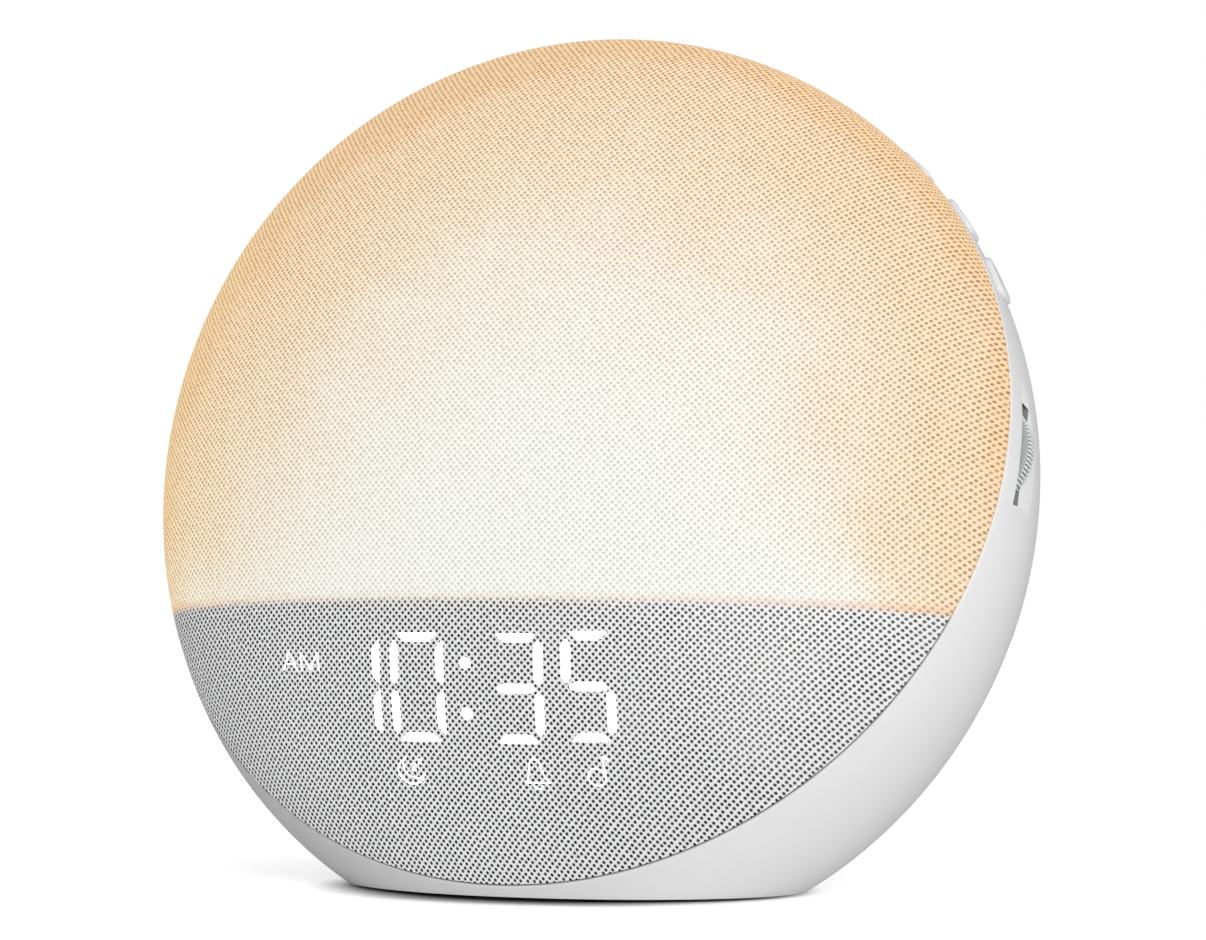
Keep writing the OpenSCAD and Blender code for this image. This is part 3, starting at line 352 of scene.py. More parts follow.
@dataclass
class Build:
    """Points and faces that are gathered before they become a mesh."""

    points: list[Array] = field(default_factory=list)
    faces: list[tuple[int, ...]] = field(default_factory=list)
    count: int = 0

    def add(self, points: Array) -> int:
        """Adds points.

        Args:
            points: One row for each.

        Returns:
            The number of the first.
        """
        self.points.append(np.asarray(points, float))
        self.count += len(points)
        return self.count - len(points)

    def strip(self, a: int, b: int, n: int) -> None:
        """Joins two closed rings with four-sided faces.

        Args:
            a: Number of the first ring's first point.
            b: Number of the second ring's first point.
            n: Number of points in each.
        """
        for i in range(n):
            j = (i + 1) % n
            self.faces.append((a + i, a + j, b + j, b + i))

    def fan(self, ring: int, n: int, point: int, flip: bool = False) -> None:
        """Closes a ring towards one point.

        Args:
            ring: Number of the ring's first point.
            n: Number of points in the ring.
            point: Number of the point.
            flip: Whether the faces run the other way round.
        """
        for i in range(n):
            j = (i + 1) % n
            self.faces.append((ring + j, ring + i, point) if flip else (ring + i, ring + j, point))

    def loft(self, rings: Sequence[Array], start: Array | None = None, end: Array | None = None) -> None:
        """Skins rings of equal length, with a point that closes the first or the last.

        Args:
            rings: Closed rings, each running left-handed about the way to the next.
            start: The point that closes the first ring.
            end: The point that closes the last ring.
        """
        n = len(rings[0])
        rows = [self.add(r) for r in rings]
        for a, b in zip(rows, rows[1:]):
            self.strip(a, b, n)
        if start is not None:
            self.fan(rows[0], n, self.add(start[None]), flip=True)
        if end is not None:
            self.fan(rows[-1], n, self.add(end[None]))

    def lathe(self, place: Placing, profile: Sequence[Pair], n: int) -> None:
        """Turns a profile about the placing's third axis.

        Args:
            place: Where the axis stands.
            profile: Radius and height of each point, from the bottom of the outside to the top,
                and back down a bore.
            n: Number of points in a ring.
        """
        rings = [place.out(circle(r, h, n)) for r, h in profile if r > 0]
        tips = [place.out(np.array([[0, 0, h]]))[0] if r == 0 else None for r, h in profile]
        self.loft(rings, tips[0], tips[-1])
        if tips[0] is None and tips[-1] is None:
            self.strip(self.count - n, self.count - n * len(rings), n)

    def make(self, name: str, sharp: float = 35.0) -> Object:
        """Makes the object, with its place in its mesh.

        Args:
            name: The object's name.
            sharp: Angle in degrees over which an edge stays sharp.

        Returns:
            The linked object.
        """
        mesh = bpy.data.meshes.new(name)
        mesh.from_pydata((np.concatenate(self.points) * MM).tolist(), [], self.faces)
        mesh.validate()
        shade(mesh, sharp)
        return linked(name, mesh)


def settle(obj: Object) -> Object:
    """Replaces an object's mesh with the result of its modifiers.

    Args:
        obj: The object.

    Returns:
        The same object, with no modifiers left.
    """
    bpy.context.view_layer.update()
    done = bpy.data.meshes.new_from_object(obj.evaluated_get(bpy.context.evaluated_depsgraph_get()))
    obj.modifiers.clear()
    old, obj.data = obj.data, done
    done.name = obj.name
    if old.users == 0:
        bpy.data.meshes.remove(old)
    return obj


def drop(*objects: Object) -> None:
    """Deletes helper objects."""
    for obj in objects:
        bpy.data.objects.remove(obj)


def combine(obj: Object, tools: Iterable[Object], how: Join = Join.CUT) -> Object:
    """Works closed solids into an object, and deletes them.

    Args:
        obj: The object.
        tools: The other solids.
        how: Whether they cut it, add to it or trim it to what they share.

    Returns:
        The same object.
    """
    for tool in tools:
        cut = obj.modifiers.new("cut", "BOOLEAN")
        cut.operation, cut.solver, cut.object = how.value, "EXACT", tool
        tool.hide_render = True
        settle(obj)
        drop(tool)
    return obj


def closed(obj: Object, weld: float = 0.0) -> Object:
    """Turns the faces of a closed mesh outwards.

    Args:
        obj: The object.
        weld: Points closer than this, in metres, are made one first.

    Returns:
        The same object.
    """
    bm = bmesh.new()
    bm.from_mesh(obj.data)
    if weld:
        bmesh.ops.remove_doubles(bm, verts=bm.verts, dist=weld)
    bmesh.ops.recalc_face_normals(bm, faces=bm.faces)
    bm.to_mesh(obj.data)
    bm.free()
    return obj


def merged(name: str, objects: Sequence[Object]) -> Object:
    """Makes one object of several.

    Args:
        name: The new object's name.
        objects: The objects, which are deleted.

    Returns:
        The new object, without a finish.
    """
    bm = bmesh.new()
    for obj in objects:
        bm.from_mesh(obj.data)
    mesh = bpy.data.meshes.new(name)
    bm.to_mesh(mesh)
    bm.free()
    drop(*objects)
    return linked(name, mesh)


def mirrored(obj: Object, side: Side) -> Object:
    """Takes a piece that is drawn for the right side to its own side.

    Args:
        obj: The piece.
        side: The side that it belongs to.

    Returns:
        The same piece.
    """
    if side is Side.LEFT:
        obj.data.transform(Matrix.Diagonal((-1, 1, 1, 1)))
        obj.data.flip_normals()
    return obj


def follow_oval(obj: Object, oval: Oval, insets: Sequence[float] = (0.0,), sharp: float = 32.0) -> None:
    """Gives faces that lie on the oval its exact normals, and keeps other edges crisp.

    Args:
        obj: The piece, in place.
        oval: The oval that it follows.
        insets: Depths of the surfaces that count.
        sharp: Angle in degrees over which other edges stay sharp.
    """
    mesh, near = obj.data, 3e-4
    shade(mesh, sharp)
    points = read(mesh.vertices, "co") / MM
    normals = read(mesh.corner_normals, "vector")
    corner = read(mesh.loops, "vertex_index", 1, int)[:, 0]
    for inset in insets:
        on = np.abs(np.linalg.norm(oval.unit(points, inset), axis=1) - 1) < near
        exact = oval.normals(points, inset)
        for face in mesh.polygons:
            loops = range(face.loop_start, face.loop_start + face.loop_total)
            if all(on[corner[k]] for k in loops):
                way = 1 if exact[corner[face.loop_start]] @ np.array(face.normal) > 0 else -1
                for k in loops:
                    normals[k] = way * exact[corner[k]]
    mesh.normals_split_custom_set(normals.tolist())


def dress(obj: Object, finish: Material, node: str, body: str = "clock") -> Object:
    """Gives a piece its finish and lets it stand for its solid.

    Args:
        obj: The piece, in place.
        finish: Its material.
        node: The CAD node that it replaces.
        body: The body that it rides on.

    Returns:
        The same piece.
    """
    obj.data.materials.clear()
    obj.data.materials.append(finish)
    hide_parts(node)
    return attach(obj, body)


# ---------------------------------------------------------------- trees of nodes


@dataclass(frozen=True)
class Graph:
    """A tree of nodes, and the one way in which nodes are added to it."""

    tree: bpy.types.NodeTree
    family: str = "ShaderNode"

    def feed(self, node: Node, inputs: Inputs) -> None:
        """Sets a node's inputs.

        Args:
            node: The node.
            inputs: For an input's name or number, a plain value, a socket to link, or a node,
                which stands for its first live output.
        """
        for key, value in inputs.items():
            if isinstance(value, bpy.types.Node):
                value = next(socket for socket in value.outputs if socket.enabled)
            if isinstance(value, bpy.types.NodeSocket):
                self.tree.links.new(value, node.inputs[key])
            else:
                node.inputs[key].default_value = value

    def add(self, kind: str, inputs: Inputs | Sequence[Any] = (), **settings: Any) -> Node:
        """Adds a node with its settings and its inputs.

        Args:
            kind: The node's type, without the tree's family of nodes before it.
            inputs: What feed() takes, or only the first inputs in their order.
            settings: Values of the node's own properties.

        Returns:
            The node.
        """
        made = self.tree.nodes.new(self.family + kind)
        for key, value in settings.items():
            setattr(made, key, value)
        self.feed(made, inputs if isinstance(inputs, dict) else dict(enumerate(inputs)))
        return made


def scatter_tree() -> bpy.types.NodeTree:
    """Makes the tree that puts one item at each point, turned by the point's own angles.

    Returns:
        The tree. Its named inputs are the item, its size, the largest chance turn about its own
        axis, that chance's seed, and the finish.
    """
    tree = bpy.data.node_groups.new("Repeat item", "GeometryNodeTree")
    tree.interface.new_socket("Geometry", in_out="OUTPUT", socket_type="NodeSocketGeometry")
    for name, kind, value in (
            ("Places", "Geometry", None), ("Item", "Object", None), ("Size", "Float", 1.0),
            ("Spread of turn", "Float", 0.0), ("Seed", "Int", 7), ("Finish", "Material", None)):
        socket = tree.interface.new_socket(name, in_out="INPUT", socket_type="NodeSocket" + kind)
        if value is not None:
            socket.default_value = value
    graph = Graph(tree, "")
    given = graph.add("NodeGroupInput").outputs
    item = graph.add("GeometryNodeObjectInfo", {"Object": given["Item"]})
    turn = graph.add("GeometryNodeInputNamedAttribute", {"Name": "turn"}, data_type="FLOAT_VECTOR")
    limits = {2: 0.0, 3: given["Spread of turn"], "Seed": given["Seed"]}
    chance = graph.add("FunctionNodeRandomValue", limits, data_type="FLOAT")
    own = graph.add("ShaderNodeCombineXYZ", {"Z": chance})
    turns = [graph.add("FunctionNodeEulerToRotation", (angles,)) for angles in (turn, own)]
    both = graph.add("FunctionNodeRotateRotation", turns, rotation_space="LOCAL")
    placed = graph.add("GeometryNodeInstanceOnPoints", {
        "Points": given["Places"], "Instance": item.outputs["Geometry"], "Rotation": both,
        "Scale": given["Size"]})
    real = graph.add("GeometryNodeRealizeInstances", (placed,))
    dressed = graph.add("GeometryNodeSetMaterial", {"Geometry": real, "Material": given["Finish"]})
    graph.add("NodeGroupOutput", (dressed,))
    return tree


def repeat(name: str, item: Object, places: Sequence[Placing], finish: Material | None = None,
           spread: float = 0.0) -> Object:
    """Repeats an item at many places with a tree of geometry nodes.

    Args:
        name: Name of the piece that holds all of them.
        item: The item, drawn about the origin along +Z. It is deleted.
        places: Where each goes; the third axis is the item's own.
        finish: Material for all of them.
        spread: Largest turn of an item about its own axis, in radians.

    Returns:
        One object with a plain mesh.
    """
    mesh = bpy.data.meshes.new(name)
    mesh.from_pydata([(p.origin * MM).tolist() for p in places], [], [])
    turn = mesh.attributes.new("turn", "FLOAT_VECTOR", "POINT")
    angles = [Matrix(p.axes.T.tolist()).to_euler() for p in places]
    turn.data.foreach_set("vector", [v for a in angles for v in a])
    obj = linked(name, mesh)
    tree = bpy.data.node_groups.get("Repeat item") or scatter_tree()
    modifier = obj.modifiers.new("repeat", "NODES")
    modifier.node_group = tree
    names = {s.name: s.identifier for s in tree.interface.items_tree if s.in_out == "INPUT"}
    for key, value in {"Item": item, "Spread of turn": spread, "Finish": finish}.items():
        modifier[names[key]] = value
    settle(obj)
    drop(item)
    return obj


# ---------------------------------------------------------------- finishes


def linear(code: str) -> tuple[float, float, float, float]:
    """Turns an sRGB colour into linear light.

    Args:
        code: The colour in hex, such as #E8E8E8.

    Returns:
        Red, green and blue, and full alpha.
    """
    parts = [int(code[i : i + 2], 16) / 255 for i in (1, 3, 5)]
    light = [c / 12.92 if c <= 0.04045 else ((c + 0.055) / 1.055) ** 2.4 for c in parts]
    return light[0], light[1], light[2], 1.0


@dataclass(frozen=True)
class Finish:
    """What every finish shares: two tones, a gloss, and a child's pattern that plays between them."""

    name: str
    colour: str
    shade: str
    roughness: float = 0.5
    ior: float = 1.5

    def build(self) -> Material:
        """Makes the material, whose patterns lie on the object's own coordinates in millimetres.

        Returns:
            The material.
        """
        material = bpy.data.materials.new(self.name)
        material.use_nodes = True
        graph = Graph(material.node_tree)
        shader = graph.tree.nodes["Principled BSDF"]
        place = graph.add("TexCoord")
        at = graph.add("Mapping", {"Vector": place.outputs["Object"], "Scale": (1 / MM,) * 3})
        graph.feed(shader, {
            "Base Color": linear(self.colour), "Roughness": self.roughness, "IOR": self.ior})
        graph.feed(shader, self.surface(graph, at))
        return material

    def surface(self, graph: Graph, at: Node) -> Inputs:
        """The shader's inputs that the finish's own pattern drives.

        Args:
            graph: The material's nodes.
            at: Place on the object, in millimetres.

        Returns:
            Values, sockets or nodes by the input's name.
        """
        raise NotImplementedError

    def pattern(self, graph: Graph, tone: Any, height: Any, strength: float, depth: float) -> Inputs:
        """The play of the two tones and the relief that most surfaces have.

        Args:
            graph: The material's nodes.
            tone: From 0 for the shade to 1 for the colour.
            height: From 0 for the valleys to 1 for the ridges.
            strength: How much of the relief the light shows.
            depth: Depth of the relief, in millimetres.

        Returns:
            The shader's colour and normal.
        """
        colours = {0: tone, 6: linear(self.shade), 7: linear(self.colour)}
        relief = {"Height": height, "Strength": strength, "Distance": depth * MM}
        return {"Base Color": graph.add("Mix", colours, **RGBA),
                "Normal": graph.add("Bump", relief)}


@dataclass(frozen=True)
class Moulded(Finish):
    """A moulded plastic or rubber: an eroded grain, and a slow drift in tone and gloss."""

    grain_mm: float = 0.35
    grain_depth: float = 0.012
    drift_mm: float = 22.0
    gloss_range: float = 0.06

    def surface(self, graph: Graph, at: Node) -> Inputs:
        """Tone from the drift; gloss and relief from the grain. Args and Returns as in Finish."""
        drift = graph.add("TexNoise", {"Vector": at, "Scale": 1 / self.drift_mm, "Detail": 3.0})
        grain = graph.add("TexNoise", {
            "Vector": at, "Scale": 1 / self.grain_mm, "Detail": 4.0, "Roughness": 0.6})
        least = max(self.roughness - self.gloss_range, 0.05)
        most = min(self.roughness + self.gloss_range, 1.0)
        gloss = graph.add("MapRange", (grain, 0.3, 0.7, least, most))
        return self.pattern(graph, drift, grain, 0.6, self.grain_depth) | {"Roughness": gloss}


@dataclass(frozen=True)
class TwoTone(Moulded):
    """A moulding painted grey where "inner" is 1: painted shade in slots and between ribs, and wheel faces.
    """

    # Tone of the painted grey: shade on slots' walls and between wheel ribs, and a wheel's faces.
    core: str = "#A4A9A9"

    def surface(self, graph: Graph, at: Node) -> Inputs:
        """The moulding's own look with the painted grey laid over it. Args and Returns as in Finish."""
        look = super().surface(graph, at)
        inner = graph.add("Attribute", attribute_name="inner").outputs["Fac"]
        tone = graph.add("Mix", {0: inner, 6: look["Base Color"], 7: linear(self.core)}, **RGBA)
        return look | {"Base Color": tone}


@dataclass(frozen=True)
class Plated(Finish):
    """Plated or coated metal: fine turning lines about one axis, and small worn patches."""

    line_mm: float = 0.12
    along: tuple[float, float, float] = (1.0, 1.0, 0.15)
    line_depth: float = 0.01
    worn_mm: float = 1.25

    def surface(self, graph: Graph, at: Node) -> Inputs:
        """Tone from the worn patches; gloss and relief from the lines. Args and Returns as in Finish."""
        drawn = graph.add("Mapping", {"Vector": at, "Scale": self.along})
        lines = graph.add("TexNoise", {"Vector": drawn, "Scale": 1 / self.line_mm, "Detail": 2.0})
        worn = graph.add("TexNoise", {"Vector": at, "Scale": 1 / self.worn_mm, "Detail": 4.0})
        gloss = graph.add("MapRange", {0: lines, 3: self.roughness - 0.08, 4: self.roughness + 0.12})
        look = self.pattern(graph, worn, lines, 0.3, self.line_depth)
        return look | {"Roughness": gloss, "Metallic": 1.0}


@dataclass(frozen=True)
class Cellular(Finish):
    """Foam, pressed pulp, ferrite or phosphor: small cells or grains of two tones."""

    cell_mm: float = 0.4
    depth: float = 0.08

    def surface(self, graph: Graph, at: Node) -> Inputs:
        """Tone and relief from the cells. Args and Returns as in Finish."""
        cells = graph.add("TexVoronoi", {"Vector": at, "Scale": 1 / self.cell_mm}).outputs["Distance"]
        return self.pattern(graph, cells, cells, 0.7, self.depth)


@dataclass(frozen=True)
class Threaded(Finish):
    """Crossing threads, as in resined cotton, or one row of wire in a winding."""

    thread_mm: float = 0.5
    crossing: bool = True
    metallic: float = 0.0
    depth: float = 0.1

    def surface(self, graph: Graph, at: Node) -> Inputs:
        """Tone and relief from the threads. Args and Returns as in Finish."""
        turns = 2 * math.pi / 20 / self.thread_mm
        rows = [graph.add("TexWave", {"Vector": at, "Scale": turns}, bands_direction=way).outputs["Fac"]
                for way in ("YX" if self.crossing else "Y")]
        height = graph.add("Math", rows, operation="MAXIMUM") if self.crossing else rows[0]
        return self.pattern(graph, height, height, 0.8, self.depth) | {"Metallic": self.metallic}


@dataclass(frozen=True)
class SolderMask(Finish):
    """A printed board: lacquer over copper tracks, which show as paler raised runs in the shade's tone."""

    pitch_mm: float = 1.6
    track_w: float = 0.06
    brick: Pair = (2.7, 0.9)
    depth: float = 0.03

    def surface(self, graph: Graph, at: Node) -> Inputs:
        """Tone and relief from the tracks. Args and Returns as in Finish."""
        lacquer = linear(self.colour)
        tracks = graph.add("TexBrick", {
            "Vector": at, "Scale": 1 / self.pitch_mm, "Mortar Size": self.track_w,
            "Brick Width": self.brick[0], "Row Height": self.brick[1],
            "Color1": lacquer, "Color2": lacquer, "Mortar": linear(self.shade)})
        relief = {"Height": tracks.outputs["Fac"], "Strength": 0.5, "Distance": self.depth * MM}
        return {"Base Color": tracks.outputs["Color"], "Normal": graph.add("Bump", relief)}


@dataclass(frozen=True)
class Lit(Finish):
    """Painted glow that stands for light coming straight through the cover from a lamp behind it."""

    strength: float = 1.0
    veil_mm: float = 1 / 2.2

    def surface(self, graph: Graph, at: Node) -> Inputs:
        """Light between the two tones, veiled by the cloth. Args and Returns as in Finish."""
        veil = graph.add("TexNoise", {"Vector": at, "Scale": 1 / self.veil_mm, "Detail": 2.0})
        tone = graph.add("Mix", {0: veil, 6: linear(self.shade), 7: linear(self.colour)}, **RGBA)
        return {"Emission Color": tone, "Emission Strength": self.strength}


@dataclass(frozen=True)
class SunriseWeave(Finish):
    """Open woven polyester over two domes: staggered holes, dark below the horizon and lit above,
    where the cloth gives off the lamps' light itself as painted glow.

    The cloth's own coordinates, in millimetres across and upwards, are in the attribute "cloth".
    """

    # The holes: spacing along a row and between rows, how far they wander, and their tones, which
    # are painted shade: the dark inside the clock seen through them.
    pitch: float = 1.218
    row: float = 0.602
    jitter: float = 0.16
    hole_dark: str = "#0C0C0C"
    hole_pale: str = "#343434"
    hole_depth: float = 0.12
    fuzz_mm: float = 0.625
    cloud_mm: float = 14.0
    # The body under the cloth: the shelf between the domes, and where the cloth folds back.
    centre_z: float = 70.41
    horizon_drop: float = 23.8
    horizon_tilt: float = 4.5
    seam_tilt: float = 21.0
    fold_m: float = 9.6
    # Directions that slow changes follow: to the upper left, and away from the lower left.
    slant: tuple[float, float, float] = (-0.75, 0, 0.66)
    stray: tuple[float, float, float] = (-0.8, 0, -0.6)
    # The lamps' brightest spot, how fast the glow fades along each axis, and its colours from
    # near to far: share of the way, colour of the threads and colour of the holes.
    hot: tuple[float, float, float] = (20.0, -48.0, -8.3)
    weight: tuple[float, float, float] = (1.0, 1.775, 0.611)
    near: float = 40.0
    far: float = 120.0
    glow: tuple[tuple[float, str, str], ...] = (
        (0.04, "#F9FAF5", "#D2D3CC"),
        (0.21, "#F9F9F1", "#D2D1C7"),
        (0.38, "#FCF4E4", "#CCC3B0"),
        (0.54, "#FDEBD2", "#C2AD8C"),
        (0.71, "#FEE6C8", "#BC9F7A"),
        (0.88, "#FFE3C0", "#B8956C"),
        (1.0, "#FFDAAC", "#B08A5E"),
    )
    dusk: str = "#F0AE84"
    gold: tuple[float, float, float, float] = (1.015, 1.05, 1.0, 1.0)
    lit_bounce: float = 0.15
    strength: float = 0.85
    # Painted shade: the near black that the cloth takes where it turns in at the seam.
    folded_tone: str = "#050505"
    # Smooth changes: what each follows, where it starts and ends, and its values there. Those that
    # follow "rise" count from the horizon, and those that follow "forward" from the fold.
    changes: tuple[tuple[str, str, float, float, float, float], ...] = (
        ("hole", "gap", 0.2, 0.42, 1.0, 0.0),
        ("uneven", "luck", 0.0, 1.0, 0.72, 1.12),
        # The holes' painted shade: uneven in a cloud, and stronger towards the lower left.
        ("hole_cloud", "cloud", 0.3, 0.7, 0.05, -0.07),
        ("hole_stray", "stray", -75.0, 5.0, 0.93, 1.17),
        # Painted sheen: light given to the threads below the horizon, stronger towards the lower left.
        ("painted_thread_sheen", "stray", -44.0, 30.0, 0.0, 0.3),
        ("above", "rise", -0.8, 0.8, 0.0, 1.0),
        ("dusk_band", "rise", 0.2, 1.9, 1.0, 0.0),
        ("dusk_ends", "side", 25.0, 78.0, 0.16, 0.42),
        ("on_diffuser", "forward", 0.0, 0.8, 0.6, 1.0),
        # 0 where the cloth turns in at the seam, with its painted shade, and 1 on its face.
        ("before_fold", "forward", 0.29, 0.5, 0.0, 1.0),
        ("golden", "x", -76.0, -36.0, 1.0, 0.0),
        ("glow_cloud", "cloud", 0.25, 0.75, -3.5, 3.5),
        ("right_end", "x", 38.0, 74.0, 0.0, 16.0),
        ("right_low", "z", 58.0, 106.0, 1.0, 0.0),
        ("left_end", "slant", 70.0, 108.0, 0.0, 12.0),
        ("spread", "side", 30.0, 57.0, 0.0, -13.0),
        ("spread_end", "side", 61.0, 74.0, 0.0, 12.0),
        ("near_line", "z", 50.0, 64.0, 1.0, 0.0),
    )

    def sources(self, graph: Graph, at: Node) -> Inputs:
        """What the changes follow: places, directions and the chances of the weave.

        Args:
            graph: The material's nodes.
            at: Place on the object, in millimetres.

        Returns:
            Sockets or nodes by their names in the table of changes.
        """
        tilt, lean = math.radians(self.horizon_tilt), math.radians(self.seam_tilt)
        ways = {"slant": self.slant, "stray": self.stray, "rise": (0, math.sin(tilt), math.cos(tilt)),
                "forward": (0, -math.cos(lean), math.sin(lean))}
        found = {name: graph.add("VectorMath", (at, way), operation="DOT_PRODUCT")
                 for name, way in ways.items()}
        cloth = graph.add("Attribute", attribute_name="cloth").outputs["Vector"]
        skew = [graph.add("VectorMath", (cloth, (1 / self.pitch, way / (2 * self.row), 0)),
                          operation="DOT_PRODUCT") for way in (1, -1)]
        lattice = graph.add("CombineXYZ", skew)
        cells = graph.add("TexVoronoi", {"Vector": lattice, "Scale": 1.0, "Randomness": self.jitter},
                          voronoi_dimensions="2D").outputs
        chance = graph.add("SeparateColor", (cells["Color"],)).outputs
        place = graph.add("SeparateXYZ", (at,)).outputs
        return found | {
            "gap": cells["Distance"], "chance": chance[0], "luck": chance[1],
            "x": place["X"], "z": place["Z"],
            "side": graph.add("Math", (place["X"],), operation="ABSOLUTE"),
            "cloud": graph.add("TexNoise", {"Vector": at, "Scale": 1 / self.cloud_mm, "Detail": 2.0}),
            "fuzz": graph.add("TexNoise", {"Vector": cloth, "Scale": 1 / self.fuzz_mm, "Detail": 3.0})}

    def glowing(self, graph: Graph, at: Node, step: Inputs) -> Node:
        """The lit cloth's colour: white near the lamps, then cream, gold and orange.

        Args:
            graph: The material's nodes.
            at: Place on the object, in millimetres.
            step: The smooth changes by name.

        Returns:
            The node that gives the colour.
        """
        ends = graph.add("Math", (step["right_end"], step["right_low"], step["left_end"]),
                         operation="MULTIPLY_ADD")
        spread = graph.add("Math", (step["spread"], step["spread_end"]), operation="ADD")
        fade = graph.add("Math", (spread, step["near_line"], ends), operation="MULTIPLY_ADD")
        offset = graph.add("VectorMath", (at, self.hot), operation="SUBTRACT")
        away = graph.add("VectorMath", (offset, self.weight), operation="MULTIPLY")
        reach = graph.add("VectorMath", (away,), operation="LENGTH")
        for term in (step["glow_cloud"], fade):
            reach = graph.add("Math", (reach, term), operation="ADD")
        share = graph.add("MapRange", (reach, self.near, self.far))
        looks = []
        for which in (1, 2):
            ramp = graph.add("ValToRGB", (share,))
            stops = ramp.color_ramp.elements
            while len(stops) < len(self.glow):
                stops.new(0.5)
            for stop, row in zip(stops, self.glow):
                stop.position, stop.color = row[0], linear(row[which])
            looks.append(ramp)
        open_part = graph.add("Math", (step["hole"], step["uneven"]), operation="MULTIPLY")
        both = graph.add("Math", (step["dusk_ends"], step["dusk_band"]), operation="MULTIPLY")
        lit = graph.add("Mix", {0: open_part, 6: looks[0], 7: looks[1]}, **RGBA)
        lit = graph.add("Mix", {0: both, 6: lit, 7: linear(self.dusk)}, **RGBA)
        return graph.add("Mix", {0: step["golden"], 6: lit, 7: self.gold}, blend_type="MULTIPLY", **RGBA)

    def surface(self, graph: Graph, at: Node) -> Inputs:
        """The unlit weave below the horizon, with painted sheen and shade, and the painted glow above it.
        Args and Returns as in Finish.
        """
        source = self.sources(graph, at)
        level = math.cos(math.radians(self.horizon_tilt)) * self.centre_z - self.horizon_drop
        fold = math.sin(math.radians(self.seam_tilt)) * self.centre_z + self.fold_m
        zero = {"rise": level, "forward": fold}
        step = {name: graph.add("MapRange", (
                    source[of], start + zero.get(of, 0), end + zero.get(of, 0), low, high), **SMOOTH)
                for name, of, start, end, low, high in self.changes}
        lit = self.glowing(graph, at, step)
        black = (0, 0, 0, 1)

        thread = graph.add("Mix", {
            0: source["fuzz"], 6: linear(self.shade), 7: linear(self.colour)}, **RGBA)
        # Painted shade in the holes: the dark inside the clock seen through them.
        dark = graph.add("Mix", {
            0: source["chance"], 6: linear(self.hole_dark), 7: linear(self.hole_pale)}, **RGBA)
        patch = graph.add("Math", (step["hole_cloud"], step["hole_stray"]), operation="ADD")
        loose = graph.add("Math", (step["hole"], patch), operation="MULTIPLY", use_clamp=True)
        unlit = graph.add("Mix", {0: loose, 6: thread, 7: dark}, **RGBA)
        # Painted shade at the seam: the cloth turns near black where it folds in.
        plain = graph.add("Mix", {0: step["before_fold"], 6: linear(self.folded_tone), 7: unlit}, **RGBA)
        dim = graph.add("Mix", {0: 1.0, 6: lit, 7: (*[self.lit_bounce] * 3, 1)},
                        blend_type="MULTIPLY", **RGBA)

        # Painted sheen: a little light on the threads, not the holes, below the horizon and before the
        # fold.
        held = graph.add("Math", (step["painted_thread_sheen"], step["before_fold"]), operation="MULTIPLY")
        faint = graph.add("Mix", {0: held, 6: black, 7: thread}, **RGBA)
        faint = graph.add("Mix", {0: loose, 6: faint, 7: black}, **RGBA)
        shown = graph.add("Math", (step["above"], step["on_diffuser"]), operation="MULTIPLY")
        return {
            "Base Color": graph.add("Mix", {0: step["above"], 6: plain, 7: dim}, **RGBA),
            "Emission Color": graph.add("Mix", {0: shown, 6: faint, 7: lit}, **RGBA),
            "Emission Strength": self.strength,
            "Normal": graph.add("Bump", {
                "Height": step["hole"], "Strength": 0.5, "Distance": self.hole_depth * MM}, invert=True)}


@dataclass(frozen=True)
class PaintedTable(Finish):
    """A painted board: white with a faint mottle, a painted contact shadow round the clock's foot, and
    light for the camera that makes it white outside that.

    The rings lie round the clock's foot, a little ahead of it: the first is the painted contact
    shadow, the second adds light near the foot that paints over the clock's own shadow there, and the
    third makes the board white farther out. Only the camera sees them: the bounced light doesn't.
    """

    # Tone of the painted contact shadow under the clock's foot.
    contact_tone: str = "#303030"
    half_axes: Pair = (35.0, 28.0)
    ahead: float = 10.0
    mottle_mm: float = 125.0
    # Start, end and most of each ring: painted contact shadow, near light that paints over the clock's
    # shadow, far white.
    rings: tuple[tuple[float, float, float], ...] = ((0.86, 1.26, 1.0), (1.05, 1.42, 0.6), (1.6, 8.0, 0.6))

    def surface(self, graph: Graph, at: Node) -> Inputs:
        """Mottle, the painted contact shadow, and the glow outside it. Args and Returns as in Finish."""
        w, l = self.half_axes
        mottle = graph.add("TexNoise", {"Vector": at, "Scale": 1 / self.mottle_mm, "Detail": 3.0})
        tone = graph.add("Mix", {0: mottle, 6: linear(self.shade), 7: linear(self.colour)}, **RGBA)
        ring = graph.add("VectorMath", (at, (1 / w, 1 / l, 0), (0, self.ahead / l, 0)),
                         operation="MULTIPLY_ADD")
        away = graph.add("VectorMath", (ring,), operation="LENGTH")
        contact, near_glow, far_glow = (graph.add("MapRange", (away, start, end, 0.0, most), **SMOOTH)
                                        for start, end, most in self.rings)
        camera = graph.add("LightPath").outputs["Is Camera Ray"]
        unseen = graph.add("Math", (1.0, camera), operation="SUBTRACT")
        white = graph.add("Math", (contact, unseen), operation="MAXIMUM")
        total = graph.add("Math", (near_glow, far_glow), operation="ADD")
        return {
            "Base Color": graph.add("Mix", {0: white, 6: linear(self.contact_tone), 7: tone}, **RGBA),
            "Specular IOR Level": 0.0, "Emission Color": (1, 1, 1, 1),
            "Emission Strength": graph.add("Math", (camera, total), operation="MULTIPLY")}


